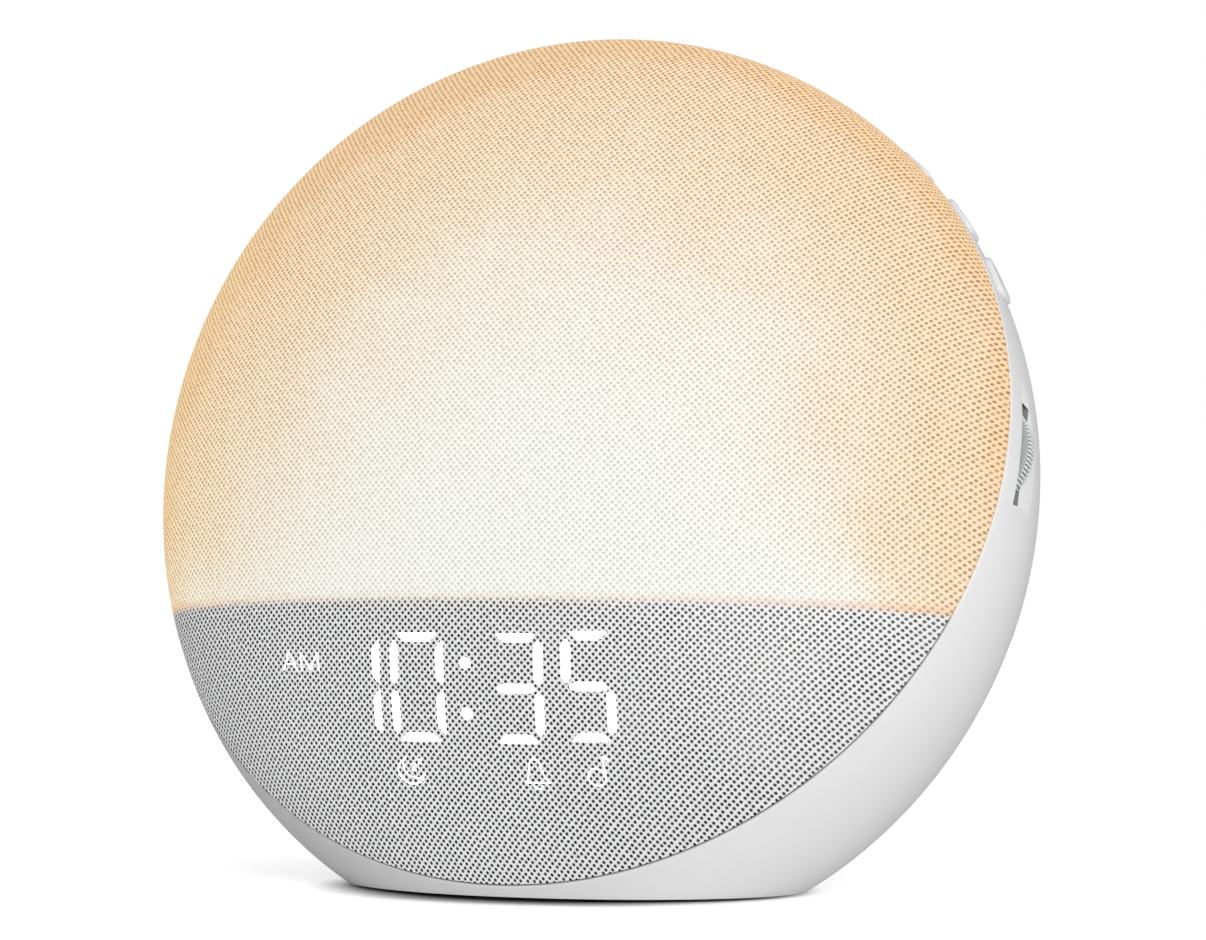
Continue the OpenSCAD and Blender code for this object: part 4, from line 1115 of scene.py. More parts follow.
def finishes() -> dict[str, Finish]:
    """Lists every material slot's finish.

    Returns:
        The finishes by their slots' names.
    """
    return {
        # Injection-moulded ABS from a lightly eroded tool: satin white with a soft, even sheen. The
        # slots' walls are painted grey as the shade where they face each other.
        "white_shell": TwoTone("moulded_white_ABS", "#EAEAEA", "#E4E4E4", 0.42, 1.53, core="#868989"),
        # The same ABS from a coarser tool: a little greyer and duller than the shell.
        "base_plastic": Moulded("moulded_base_ABS", "#E6E6E6", "#DEDEDE", 0.48, 1.53),
        # Die-cut silicone sheet: dead matt, with a fine tooth that breaks up any shine.
        "foot_rubber": Moulded("die_cut_dark_silicone", "#161616", "#0C0C0C", 0.85, 1.42, 0.2, 0.03),
        "foot_rubber_black": Moulded("die_cut_black_silicone", "#1C1C1C", "#141414", 0.85, 1.42, 0.2),
        # Glass-filled ABS moulding: slightly cloudy, with a coarse, duller grain where fibres lie.
        "frame_plastic": Moulded("glass_filled_white_ABS", "#DEDEDA", "#CFCFCB", 0.55, 1.53, 0.6),
        # Polyester woven from paired threads with open holes between them: a matt pale grey, dotted
        # with painted shade in the holes, with a painted glow where a lamp is behind it.
        "woven_cover": SunriseWeave("woven_polyester", "#F0F0F0", "#E2E2E2", 0.85),
        # Opal polycarbonate blown over a core: smooth and milky, with a soft shine.
        "diffuser_plastic": Moulded("opal_polycarbonate", "#F4F2EC", "#ECE9E0", 0.3, 1.58,
                                    grain_depth=0.002),
        # Cast smoked acrylic: glossy, and nearly black until something behind it is lit.
        "smoked_plastic": Moulded("smoked_acrylic", "#2A2A2C", "#202022", 0.12, 1.49, grain_depth=0.001),
        # Reflector moulded from ABS filled with titanium white: bright, flat and matt.
        "white_moulding": Moulded("titanium_filled_ABS", "#F2F2EE", "#E8E8E4", 0.6, 1.53),
        # Aluminium-cored board under white lacquer: even white, its tracks as faint raised runs.
        "lamp_board": SolderMask("white_lacquered_board", "#EDEDE8", "#D2D4CC", 0.35),
        # Yellow phosphor gel cast into ceramic lamp bodies: a waxy yellow of fine grains.
        "led_body": Cellular("phosphor_gel", "#F2E08A", "#D8BC4C", 0.35, cell_mm=0.3, depth=0.03),
        # Injection-moulded polyamide from a plain tool: black with a broad, soft highlight.
        "black_plastic": Moulded("moulded_black_polyamide", "#1A1A1A", "#121212", 0.38, 1.53),
        # Light guide moulded clear and frosted: cool and milky, with a clean shine.
        "light_guide": Moulded("frosted_light_guide", "#E8ECEE", "#D8DEE2", 0.25, 1.49, grain_depth=0.004),
        # Fibreglass board under green solder lacquer: glossy green, with paler raised tracks.
        "circuit_board": SolderMask("green_lacquered_board", "#14502C", "#1F6B3C", 0.35),
        # Flat conductors laminated between polyester films: smooth silver grey with faint lines.
        "ribbon": Threaded("laminated_ribbon_cable", "#D6D8DA", "#A8ACB0", 0.35, thread_mm=0.6,
                           crossing=False),
        # Transfer-moulded epoxy chip bodies: charcoal with a fine, matt grain.
        "chip_black": Moulded("epoxy_chip_body", "#222222", "#1A1A1A", 0.62, 1.55, 0.15),
        # Turned steel under nickel plate: warm silver with fine lines round it.
        "nickel_steel": Plated("nickel_plated_steel", "#C9C6BE", "#A6A39B", 0.28),
        # Cold-headed steel under zinc plate: bluish grey, duller, with faint lines round it.
        "screw_steel": Plated("zinc_plated_steel", "#B9BDC1", "#8B9095", 0.34),
        # PVC extruded over a wire: even gloss, and a slow waviness along it.
        "wire_red": Moulded("extruded_red_PVC", "#B3261E", "#9A1F18", 0.4, 1.53, 1.5, 0.02),
        "wire_black": Moulded("extruded_black_PVC", "#1B1B1B", "#131313", 0.4, 1.53, 1.5, 0.02),
        # Closed-cell foam cut from sheet: dead matt, with small open bubbles on the cut face.
        "foam_black": Cellular("closed_cell_foam", "#2C2C2C", "#0E0E0E", 0.95, cell_mm=0.45, depth=0.15),
        # Pressed steel with a baked black coat: dark grey, half glossy, with faint press lines.
        "dark_steel": Plated("black_coated_steel", "#45474A", "#2E3032", 0.42, line_mm=0.4),
        # Sintered ferrite: dull charcoal with fine grains that glint a little.
        "ferrite": Cellular("sintered_ferrite", "#3C3C3E", "#29292B", 0.55, 2.3, 0.25, 0.03),
        # Cotton pressed with resin: tan threads that cross, stiff and dull.
        "spider_cloth": Threaded("resined_cotton", "#C9A25E", "#7E5E2A", 0.8),
        # Pressed paper pulp: felted fibres in dark grey, soft and matt.
        "cone_paper": Cellular("pressed_paper_pulp", "#34322F", "#1E1D1B", 0.9, cell_mm=0.7, depth=0.06),
        # Enamelled copper wire wound in one layer: fine bright rings of red brown.
        "copper_winding": Threaded("enamelled_copper_wire", "#C4713A", "#7A3A18", 0.3, thread_mm=0.25,
                                   crossing=False, metallic=1.0),
        # Pressed phenolic encoder bodies: brownish black, half matt.
        "encoder_plastic": Moulded("phenolic_encoder_body", "#2B2622", "#1E1A17", 0.5, 1.6),
        # Silicone pressed into a strip of keys: soft, matt grey.
        "key_strip": Moulded("pressed_silicone_strip", "#C9CBCC", "#BCBEBF", 0.75, 1.42),
        # ABS caps from a smooth tool: a cooler white than the shell, soft and without grain. What
        # relief there is runs slowly over a cap.
        "white_key": Moulded("moulded_key_ABS", "#E2E2E4", "#DBDBDE", 0.62, 1.53, 3.0, 0.0003),
        # ABS wheels from a polished tool: cool white ribs with a tight highlight, grey faces, and grey
        # painted shade between the ribs.
        "white_wheel": TwoTone("moulded_wheel_ABS", "#E9ECEC", "#DFE3E3", 0.35, 1.53, grain_depth=0.005),
    }


def dress_solids(made: dict[str, Material]) -> None:
    """Puts each slot's material on the solids that keep their own mesh.

    Args:
        made: The materials by their slots' names.
    """
    for name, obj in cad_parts.items():
        for k, old in enumerate(obj.data.materials):
            slot = old.name.split(".")[0]
            if slot in made:
                obj.data.materials[k] = made[slot]
            else:
                LOG.warning("%s has a slot without a finish: %s", name, slot)


# ---------------------------------------------------------------- pieces


@dataclass
class RearHousing:
    """The moulded rear shell with its windows, scoops, wells, sound holes and base opening.

    A profile below is rows of (radius, height) along the part's own axis.
    """

    oval: Oval
    wall: float = 2.6
    lip_m: float = 9.35
    lip_round: float = 0.12
    rows: int = 84
    columns: int = 256
    post_x: float = 46.0
    post_s: Pair = (26.0, -30.0)
    post_r: float = 5.0
    post_span: Pair = (8.0, 60.0)
    well_r: float = 3.5
    well_end: float = -11.0
    well_break: float = 1.2
    well_flare: Pair = (3.0, 4.0)
    screw_r: float = 1.7
    sound_v: float = 8.0
    sound_r: float = 19.0
    hole_d: float = 2.0
    hole_pitch: float = 4.0
    seat_w: float = -46.0
    seat: tuple[Pair, ...] = ((22, 0), (30, 0), (30, 16), (22, 16))
    inlet_y: float = 35.92
    inlet_z: float = 24.41
    boss_start: float = -3.0
    boss: tuple[Pair, ...] = ((0, 0), (9, 0), (9, 12), (0, 12))
    pocket: tuple[Pair, ...] = ((0, -20), (4.1, -20), (4.1, 0), (6.6, 0), (7, 0.4), (7, 30), (0, 30))
    floor_half: float = 90.0
    floor_depth: float = 60.0

    def shell(self) -> Object:
        """The bare shell: outside, rounded lip and inside as one closed surface.

        Returns:
            The solid.
        """
        o, phi = self.oval, around(self.columns)
        edge = self.lip_m - self.lip_round
        rings = [o.ring(t, phi) for t in np.linspace(math.pi, o.angle_at(edge), self.rows)[1:]]
        for a in np.linspace(0, math.pi / 2, 5)[1:]:
            inset = self.lip_round * (1 - math.cos(a))
            rings.append(o.ring(o.angle_at(edge + self.lip_round * math.sin(a), inset), phi, inset))
        inner = np.linspace(o.angle_at(self.lip_m, self.wall), math.pi, self.rows // 2)[:-1]
        rings += [o.ring(t, phi, self.wall) for t in inner]
        build = Build()
        build.loft(rings, o.tip(math.pi), o.tip(math.pi, self.wall))
        return build.make("shell")

    def inner_body(self) -> Object:
        """The solid half-way into the wall, which trims posts and seats.

        Returns:
            The solid.
        """
        o, phi, inset = self.oval, around(96), self.wall / 2
        build = Build()
        build.loft([o.ring(t, phi, inset) for t in np.linspace(math.pi, 0, 60)[1:-1]],
                   o.tip(math.pi, inset), o.tip(0.0, inset))
        return build.make("inner_body")

    def wells(self) -> list[Placing]:
        """The places of the screw wells on both sides, looking in from the back."""
        turned = self.oval.seam.facing(1, -1, -1)
        return [turned.moved(side.value * self.post_x, -s, 0) for side in Side for s in self.post_s]

    def inlet(self, start: float) -> Placing:
        """The inlet's axis, from a start along it and looking out of the back."""
        return Placing(np.array([0, self.inlet_y + start, self.inlet_z]), OUT_OF_BACK)

    def bosses(self) -> Object:
        """Posts round the screw wells, the speaker's seat and the pocket round the inlet.

        Returns:
            One solid, trimmed to the wall.
        """
        build, (low, high), r = Build(), self.post_span, self.post_r
        for place in self.wells():
            build.lathe(place, [(0, low), (r, low), (r, high), (0, high)], 32)
        speaker = self.oval.body.facing(-1, 1, -1).moved(0, self.sound_v, -self.seat_w)
        build.lathe(speaker, self.seat, 64)
        build.lathe(self.inlet(self.boss_start), self.boss, 48)
        return combine(build.make("bosses"), [self.inner_body()], Join.TRIM)

    def openings(self) -> list[Object]:
        """The tools that cut everything open, but for the sound holes.

        Returns:
            The tools for the wells, for the inlet's pocket and for the flat base.
        """
        wells, depth, r, bore = Build(), -self.well_end, self.well_r, self.screw_r
        for place in self.wells():
            outer = self.oval.hit(place.out(np.array([[0, 0, depth]])), place.axes[2])[0]
            rim = float(place.into(outer[None])[0, 2])
            wells.lathe(place, [
                (0, -30), (bore, -30), (bore, depth), (r, depth), (r, rim - self.well_break),
                (r + self.well_flare[0], rim + self.well_flare[1]), (0, rim + self.well_flare[1])], 40)
        inlet, floor = Build(), Build()
        inlet.lathe(self.inlet(0), self.pocket, 64)
        w, low = self.floor_half, self.oval.cut_z
        floor.add(np.array([[x, y, z] for z in (low - self.floor_depth, low)
                            for x, y in ((-w, -w), (w, -w), (w, w), (-w, w))]))
        floor.faces += [(3, 2, 1, 0), (4, 5, 6, 7), (0, 1, 5, 4), (1, 2, 6, 5), (2, 3, 7, 6), (3, 0, 4, 7)]
        return [wells.make("wells"), inlet.make("inlet_pocket"), floor.make("floor_cut")]

    def sound_holes(self) -> Object:
        """The tool that drills the sound holes, repeated by geometry nodes.

        Returns:
            One object with all drills, on the outer surface.
        """
        drill, r, length, break_w, top = Build(), self.hole_d / 2, 6, 0.35, 2.2
        drill.lathe(Placing(np.zeros(3), np.eye(3)), [
            (0, -length), (r, -length), (r, 0), (r + break_w, break_w), (r + top, top), (0, top)], 20)
        body, places = self.oval.body, []
        n = math.ceil(self.sound_r / self.hole_pitch) + 1
        for j in range(-n, n + 1):
            for i in range(-n, n + 1):
                x = self.hole_pitch * (i + (abs(j) % 2) / 2)
                v = self.hole_pitch * math.sin(math.radians(60)) * j
                if math.hypot(x, v) < self.sound_r:
                    inside = body.out(np.array([[x, self.sound_v + v, 0]]))
                    outside = self.oval.hit(inside, -body.axes[2], 0.3)[0]
                    places.append(Placing(outside, body.facing(-1, 1, -1).axes))
        return repeat("sound_hole_tool", drill.make("drill"), places)

    def build(self, extra_tools: Sequence[Object], finish: Material) -> Object:
        """Makes the finished housing.

        Args:
            extra_tools: Cutting tools that other sub-assemblies bring.
            finish: The housing's material.

        Returns:
            The piece, riding on the clock's fixed body.
        """
        housing = self.shell()
        combine(housing, [self.bosses()], Join.ADD)
        combine(housing, [*self.openings(), *extra_tools, self.sound_holes()])
        housing.name = housing.data.name = "rear_shell"
        follow_oval(housing, self.oval, (0.0, self.wall))
        return dress(housing, finish, "rear_housing")


@dataclass
class WovenCover:
    """The cloth over the front, stretched over the domes and turned in behind their flange.

    Its threads run as they do when flat cloth is pulled on from the front: the pitch stays even
    as seen from there, and the pull draws it out a little more on one side than on the other.
    Towards the rim, where the dome turns away, it follows the surface.
    """

    oval: Oval
    back_m: float = 9.65
    fold_round: float = 0.3
    turn_in: Pair = (2.0, 6.0)
    rows: int = 90
    columns: int = 256
    flat: Pair = (0.19, 0.19)
    flat_area: float = 0.0284
    # How the cloth is drawn out: shares of y, the other way, and their products, in each direction.
    pull_across: tuple[float, ...] = (0.165, -0.038, -0.0008, -0.0002)
    pull_up: tuple[float, ...] = (0.128, 0.013, 0.00023)
    # Behind this depth, which lies farther forward on the left, the threads follow the surface:
    # the depth and its rise over a width, the length over which the turn sets in, and its rate
    # with what a width takes off it on the right.
    turn_y: tuple[float, float, float] = (2.0, 14.0, 60.0)
    turn_soft: float = 8.0
    turn_rate: tuple[float, float, float] = (0.62, 0.13, 40.0)

    def coordinates(self, points: Array) -> Array:
        """The cloth's own coordinates.

        Args:
            points: Points on the cloth, from the body's centre.

        Returns:
            One row for each point: across, upwards and 0.
        """
        x, y, z = points.T
        a, b, c, d = self.pull_across
        across = x + a * y + b * z + c * x * y + d * z * z
        a, b, c = self.pull_up
        upwards = z + a * y + b * x + c * x * z
        start, rise, width = self.turn_y
        behind = np.maximum(y + start + rise * np.clip(-x / width, 0, 1), 0)
        rate, less, width = self.turn_rate
        pulled = ((rate - less * np.clip(x / width, -1, 1)) * behind**2 / (behind + self.turn_soft)
                  / np.hypot(x, z))
        return np.stack([across + pulled * x, upwards + pulled * z, 0 * x], 1)

    def build(self, finish: Material) -> Object:
        """Makes the stretched sheet with its own cloth coordinates.

        Args:
            finish: The cloth's material.

        Returns:
            The piece.
        """
        o, phi = self.oval, around(self.columns)
        edge, tip = self.back_m + self.fold_round, o.tip(0.0)
        rings = [o.ring(t, phi) for t in np.linspace(0, o.angle_at(edge), self.rows)[1:]]
        for a in np.linspace(0, math.pi / 2, 5)[1:]:
            inset = self.fold_round * (1 - math.cos(a))
            rings.append(o.ring(o.angle_at(edge - self.fold_round * math.sin(a), inset), phi, inset))
        rings += [o.ring(o.angle_at(self.back_m, inset), phi, inset) for inset in self.turn_in]
        build = Build()
        build.loft(rings, start=tip)
        build.faces = [face[::-1] for face in build.faces]
        sheet = build.make("woven_cover")
        cloth = self.coordinates(np.concatenate([*rings, tip[None]]) - o.centre)
        attribute = sheet.data.attributes.new("cloth", "FLOAT_VECTOR", "POINT")
        attribute.data.foreach_set("vector", cloth.ravel())
        follow_oval(sheet, o, sharp=60.0)
        dress(sheet, finish, "fabric_cover")
        return sheet


@dataclass
class TimeDisplay:
    """The lit bars, letters and symbols that shine through the lower dome's cover, drawn as glowing
    plates on it: painted light.

    Drawn points are across and upwards, from the body's centre as seen from the front.
    """

    oval: Oval
    digit_h: float = 16.6
    digit_w: float = 8.3
    places: tuple[float, float, float, float] = (-19.3, -6.6, 11.45, 23.6)
    raised: tuple[float, float, float, float] = (0.15, 0.1, 0.0, 0.42)
    bar_w: float = 1.5
    bar_gap: float = 0.5
    bar_steps: int = 13
    tip_level: float = 0.8
    tip_upright: float = 0.75
    slant: float = 4.0
    drop: float = 34.3
    colon: float = 2.5
    colon_d: float = 2.0
    proud: float = 0.07
    sunk: float = 0.05
    letter_w: float = 0.22
    line_w: float = 0.17
    sleep_w: float = 0.15
    flag_w: float = 0.4
    segments: dict[str, str] = field(default_factory=lambda: {
        "0": "abcdef", "1": "bc", "2": "abged", "3": "abgcd", "4": "fgbc", "5": "afgcd",
        "6": "afgedc", "7": "abc", "8": "abcdefg", "9": "abcdfg"})
    letters: tuple[tuple[Pair, ...], ...] = (
        ((-35.0, -31.7), (-33.3, -28.5), (-31.6, -31.7)), ((-34.4, -30.6), (-32.2, -30.6)),
        ((-30.6, -31.7), (-30.6, -28.5), (-28.65, -31.5), (-26.7, -28.5), (-26.7, -31.7)))
    moon: Pair = (-10.2, -48.35)
    sleep: tuple[tuple[float, float, float], ...] = ((0.2, 0.25, 1.0), (1.7, 1.35, 0.75))
    bell: Pair = (12.9, -45.9)
    bell_side: tuple[Pair, ...] = (
        (0, 0), (-0.55, -0.2), (-0.9, -0.8), (-1.1, -1.8), (-1.4, -3.0), (-1.75, -3.6), (-2.1, -3.9))
    note: Pair = (23.0, -48.75)
    note_stem: tuple[Pair, Pair] = ((24.4, -48.9), (24.4, -45.3))
    note_flag: tuple[Pair, ...] = ((24.45, -45.35), (24.8, -45.6), (25.3, -46.0))

    def on_dome(self, flat: Array, lift: float) -> Array:
        """Puts drawn points on the dome along Y."""
        start = np.stack([flat[:, 0], np.zeros(len(flat)), flat[:, 1] + self.oval.centre[2]], 1)
        return self.oval.hit(start, np.array([0.0, -1.0, 0.0]), -lift)

    def plate(self, build: Build, rows: Sequence[Array]) -> None:
        """Skins one thin plate on the dome.

        Args:
            build: Gathers the mesh.
            rows: Rows of equally many drawn points, each from left to right.
        """
        n, last = len(rows[0]), len(rows) - 1
        for lift, flip in ((self.proud, False), (-self.sunk, True)):
            first = [build.add(self.on_dome(np.array(row), lift)) for row in rows]
            for a, b in zip(first, first[1:]):
                for i in range(n - 1):
                    quad = (a + i, a + i + 1, b + i + 1, b + i)
                    build.faces.append(quad[::-1] if flip else quad)
        top, low = build.count - 2 * n * len(rows), build.count - n * len(rows)
        rim = ([(r * n, (r + 1) * n) for r in range(last)]
               + [(last * n + i, last * n + i + 1) for i in range(n - 1)]
               + [((r + 1) * n + n - 1, r * n + n - 1) for r in reversed(range(last))]
               + [(i + 1, i) for i in reversed(range(n - 1))])
        build.faces += [(top + p, top + q, low + q, low + p) for p, q in rim]

    def lean_over(self, drawn: Array) -> Array:
        """Slants drawn points about the digits' middle line.

        Args:
            drawn: One row for each point.

        Returns:
            The slanted points.
        """
        p = np.array(drawn, float)
        p[:, 0] += math.tan(math.radians(self.slant)) * (p[:, 1] + self.drop)
        return p

    def half_width(self, x: float) -> float:
        """Half a digit's width: wider to the left, where the dome turns away from the eye."""
        return self.digit_w / 2 * (1.01 - 0.0057 * x)

    def bar(self, build: Build, at: Pair, half: float, upright: bool, tip: float) -> None:
        """Draws one bar of a digit.

        Args:
            build: Gathers the mesh.
            at: Middle of the bar.
            half: Half its length.
            upright: Whether it stands.
            tip: Where its tips lie across its width, from -1 to 1.
        """
        (x, z), w, rows, least = at, self.bar_w / 2, [], 1e-4
        for along in np.linspace(-1, 1, self.bar_steps) * half:
            room = half - abs(along)
            left = min(-w + max(0.0, w * (1 + tip) - room), tip * w)
            right = max(w - max(0.0, w * (1 - tip) - room), tip * w)
            across = np.linspace(left, right + least, 3)
            line = [(x + c, z + along) if upright else (x + along, z - c) for c in across]
            rows.append(self.lean_over(np.array(line)))
        self.plate(build, rows)

    def stroke(self, build: Build, points: Sequence[Pair] | Array, width: float,
               ring: bool = False) -> None:
        """Draws a line of even width.

        Args:
            build: Gathers the mesh.
            points: Points along its middle.
            width: Its width.
            ring: Whether it runs back to its first point.
        """
        p = np.array(points, float)
        if ring:
            p = np.vstack([p, p[:1]])
        d = np.gradient(p, axis=0)
        if ring:
            d[0] = d[-1] = p[1] - p[-2]
        d /= np.linalg.norm(d, axis=1, keepdims=True) + 1e-9
        side = np.stack([-d[:, 1], d[:, 0]], 1) * width / 2
        self.plate(build, [np.array([a - s, a + s]) for a, s in zip(p, side)])

    def disc(self, build: Build, x: float, z: float, d: float) -> None:
        """Draws a round dot.

        Args:
            build: Gathers the mesh.
            x: Its middle, across.
            z: Its middle, upwards.
            d: Its diameter.
        """
        rows = []
        for u in np.linspace(-0.995, 0.995, 13):
            w = math.sqrt(1 - u * u) * d / 2
            rows.append(np.array([(x - w + k * w, z + u * d / 2) for k in range(3)]))
        self.plate(build, rows)

    def build(self, text: str, finish: Material) -> Object:
        """Makes the lit bars and dots of a time.

        Args:
            text: Four digits, such as 1035.
            finish: Their material.

        Returns:
            The piece.
        """
        build, h = Build(), self.digit_h / 2
        for x, up, digit in zip(self.places, self.raised, text):
            w = self.half_width(x)
            where = {"a": (0, h, False), "g": (0, 0, False), "d": (0, -h, False), "f": (-w, h / 2, True),
                     "b": (w, h / 2, True), "e": (-w, -h / 2, True), "c": (w, -h / 2, True)}
            for name in self.segments[digit]:
                dx, dz, upright = where[name]
                tip = {"a": -self.tip_level, "d": self.tip_level}.get(
                    name, self.tip_upright if name in "bc" and digit in "01" else 0.0)
                half = (h / 2 if upright else w) - self.bar_gap
                self.bar(build, (x + dx, up - self.drop + dz), half, upright, tip)
        for half in (-1, 1):
            x, z = self.lean_over(np.array([[self.colon, half * h / 2 - self.drop]]))[0]
            self.disc(build, x, z, self.colon_d)
        return self.done(build, "lit_digits", finish)

    def signs(self, finish: Material) -> Object:
        """Makes the small AM, the moon with its two z, the bell and the note.

        Args:
            finish: Their material.

        Returns:
            The piece.
        """
        build, w = Build(), self.line_w
        for line in self.letters:
            for a, b in zip(line, line[1:]):
                self.stroke(build, np.linspace(a, b, 5), self.letter_w)
        moon, bell = np.array(self.moon), np.array(self.bell)
        self.stroke(build, arc(moon, (2.5, 2.15), 105, 348, 33), w)
        self.stroke(build, arc(moon + (0.95, 0.85), (2.3, 1.95), 322, 130, 25), w)
        for dx, dz, s in self.sleep:
            corners = moon + (dx, dz) + np.array([(0, s), (s, s), (0, 0), (s, 0)])
            for a, b in zip(corners, corners[1:]):
                self.stroke(build, np.linspace(a, b, 3), self.sleep_w)
        for way in (1, -1):
            self.stroke(build, bell + np.array(self.bell_side) * (way, 1), w)
        self.stroke(build, np.linspace(bell + (-2.2, -3.95), bell + (2.2, -3.95), 5), w)
        self.stroke(build, arc(bell + (0, -4.3), (0.8, 0.65), 180, 360, 9), w)
        self.disc(build, bell[0], bell[1] + 0.2, 0.5)
        self.stroke(build, arc(np.array(self.note), (1.4, 1.45), 0, 345, 25), w, ring=True)
        self.stroke(build, np.linspace(*self.note_stem, 4), w)
        self.stroke(build, self.note_flag, self.flag_w)
        return self.done(build, "lit_signs", finish)

    def done(self, build: Build, name: str, finish: Material) -> Object:
        """Turns gathered plates into a dressed piece.

        Args:
            build: The plates.
            name: The piece's name.
            finish: Its material.

        Returns:
            The piece.
        """
        obj = closed(build.make(name, sharp=30.0), 1e-7)
        obj.data.materials.append(finish)
        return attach(obj, "clock")


@dataclass
class SideKeys:
    """Three oval-edged keys on each side, and the windows they stand in."""

    oval: Oval
    count: int = 3
    middle: float = 53.5
    pitch: float = 10.0
    length: float = 8.6
    width: float = 6.4
    corner: float = 2.2
    m: float = 3.5
    proud: float = 0.8
    edge_round: float = 0.65
    foot: float = 3.9
    gap: float = 0.2
    window: tuple[Pair, ...] = ((0.0, 9.0), (0.0, 0.35), (0.3, 0.05), (1.7, -1.35))

    def ring(self, side: Side, number: int, grow: float, inset: float) -> Array:
        """A key's outline on the oval.

        Args:
            side: The side that it is on.
            number: Which key, from 0 at the top.
            grow: How much larger than the key, or less than 0.
            inset: Depth under the outer surface.

        Returns:
            One row for each point.
        """
        a = math.radians(self.middle + (number - 1) * self.pitch)
        seam = self.oval.seam
        out = math.sin(a) * seam.axes[0] + math.cos(a) * seam.axes[1]
        along = math.cos(a) * seam.axes[0] - math.sin(a) * seam.axes[1]
        flat = rounded_outline(self.length + 2 * grow, self.width + 2 * grow, self.corner + grow)
        start = seam.origin + self.m * seam.axes[2] + flat[:, :1] * along + flat[:, 1:] * seam.axes[2]
        return self.oval.hit(start, out, inset) * side.flip

    def loft(self, name: str, side: Side, number: int, steps: Sequence[Pair]) -> Object:
        """Skins rings from the inside out, closed at both ends.

        Args:
            name: The object's name.
            side: The side that it is on.
            number: Which key.
            steps: Growth and inset of each ring.

        Returns:
            The solid.
        """
        rings = [self.ring(side, number, grow, inset) for grow, inset in steps]
        build = Build()
        build.loft(rings, rings[0].mean(0), rings[-1].mean(0))
        return closed(build.make(name, sharp=40.0))

    def windows(self) -> list[Object]:
        """The tools that cut the keys' windows, with a small break at their edges."""
        steps = [(self.gap + grow, inset) for grow, inset in self.window]
        return [self.loft("window", side, n, steps) for side in Side for n in range(self.count)]

    def key(self, side: Side, number: int, finish: Material) -> Object:
        """One key cap with its edge rolled over in small steps.

        Args:
            side: The side that it is on.
            number: Which key.
            finish: Its material.

        Returns:
            The piece, riding on the key's own body.
        """
        edge, top = self.edge_round, -self.proud
        steps = [(0.0, self.foot), (0.0, top + edge)]
        for a in np.radians((22.5, 45, 67.5, 90)):
            steps.append((-edge * (1 - math.cos(a)), top + edge * (1 - math.sin(a))))
        steps += [(-g, top) for g in (1.1, 1.7, 2.3, 2.9)]
        key = self.loft(f"{side.word}_key_cap_{number + 1}", side, number, steps)
        node = f"{side.word}_key_{number + 1}"
        return dress(key, finish, node, node + "_body")


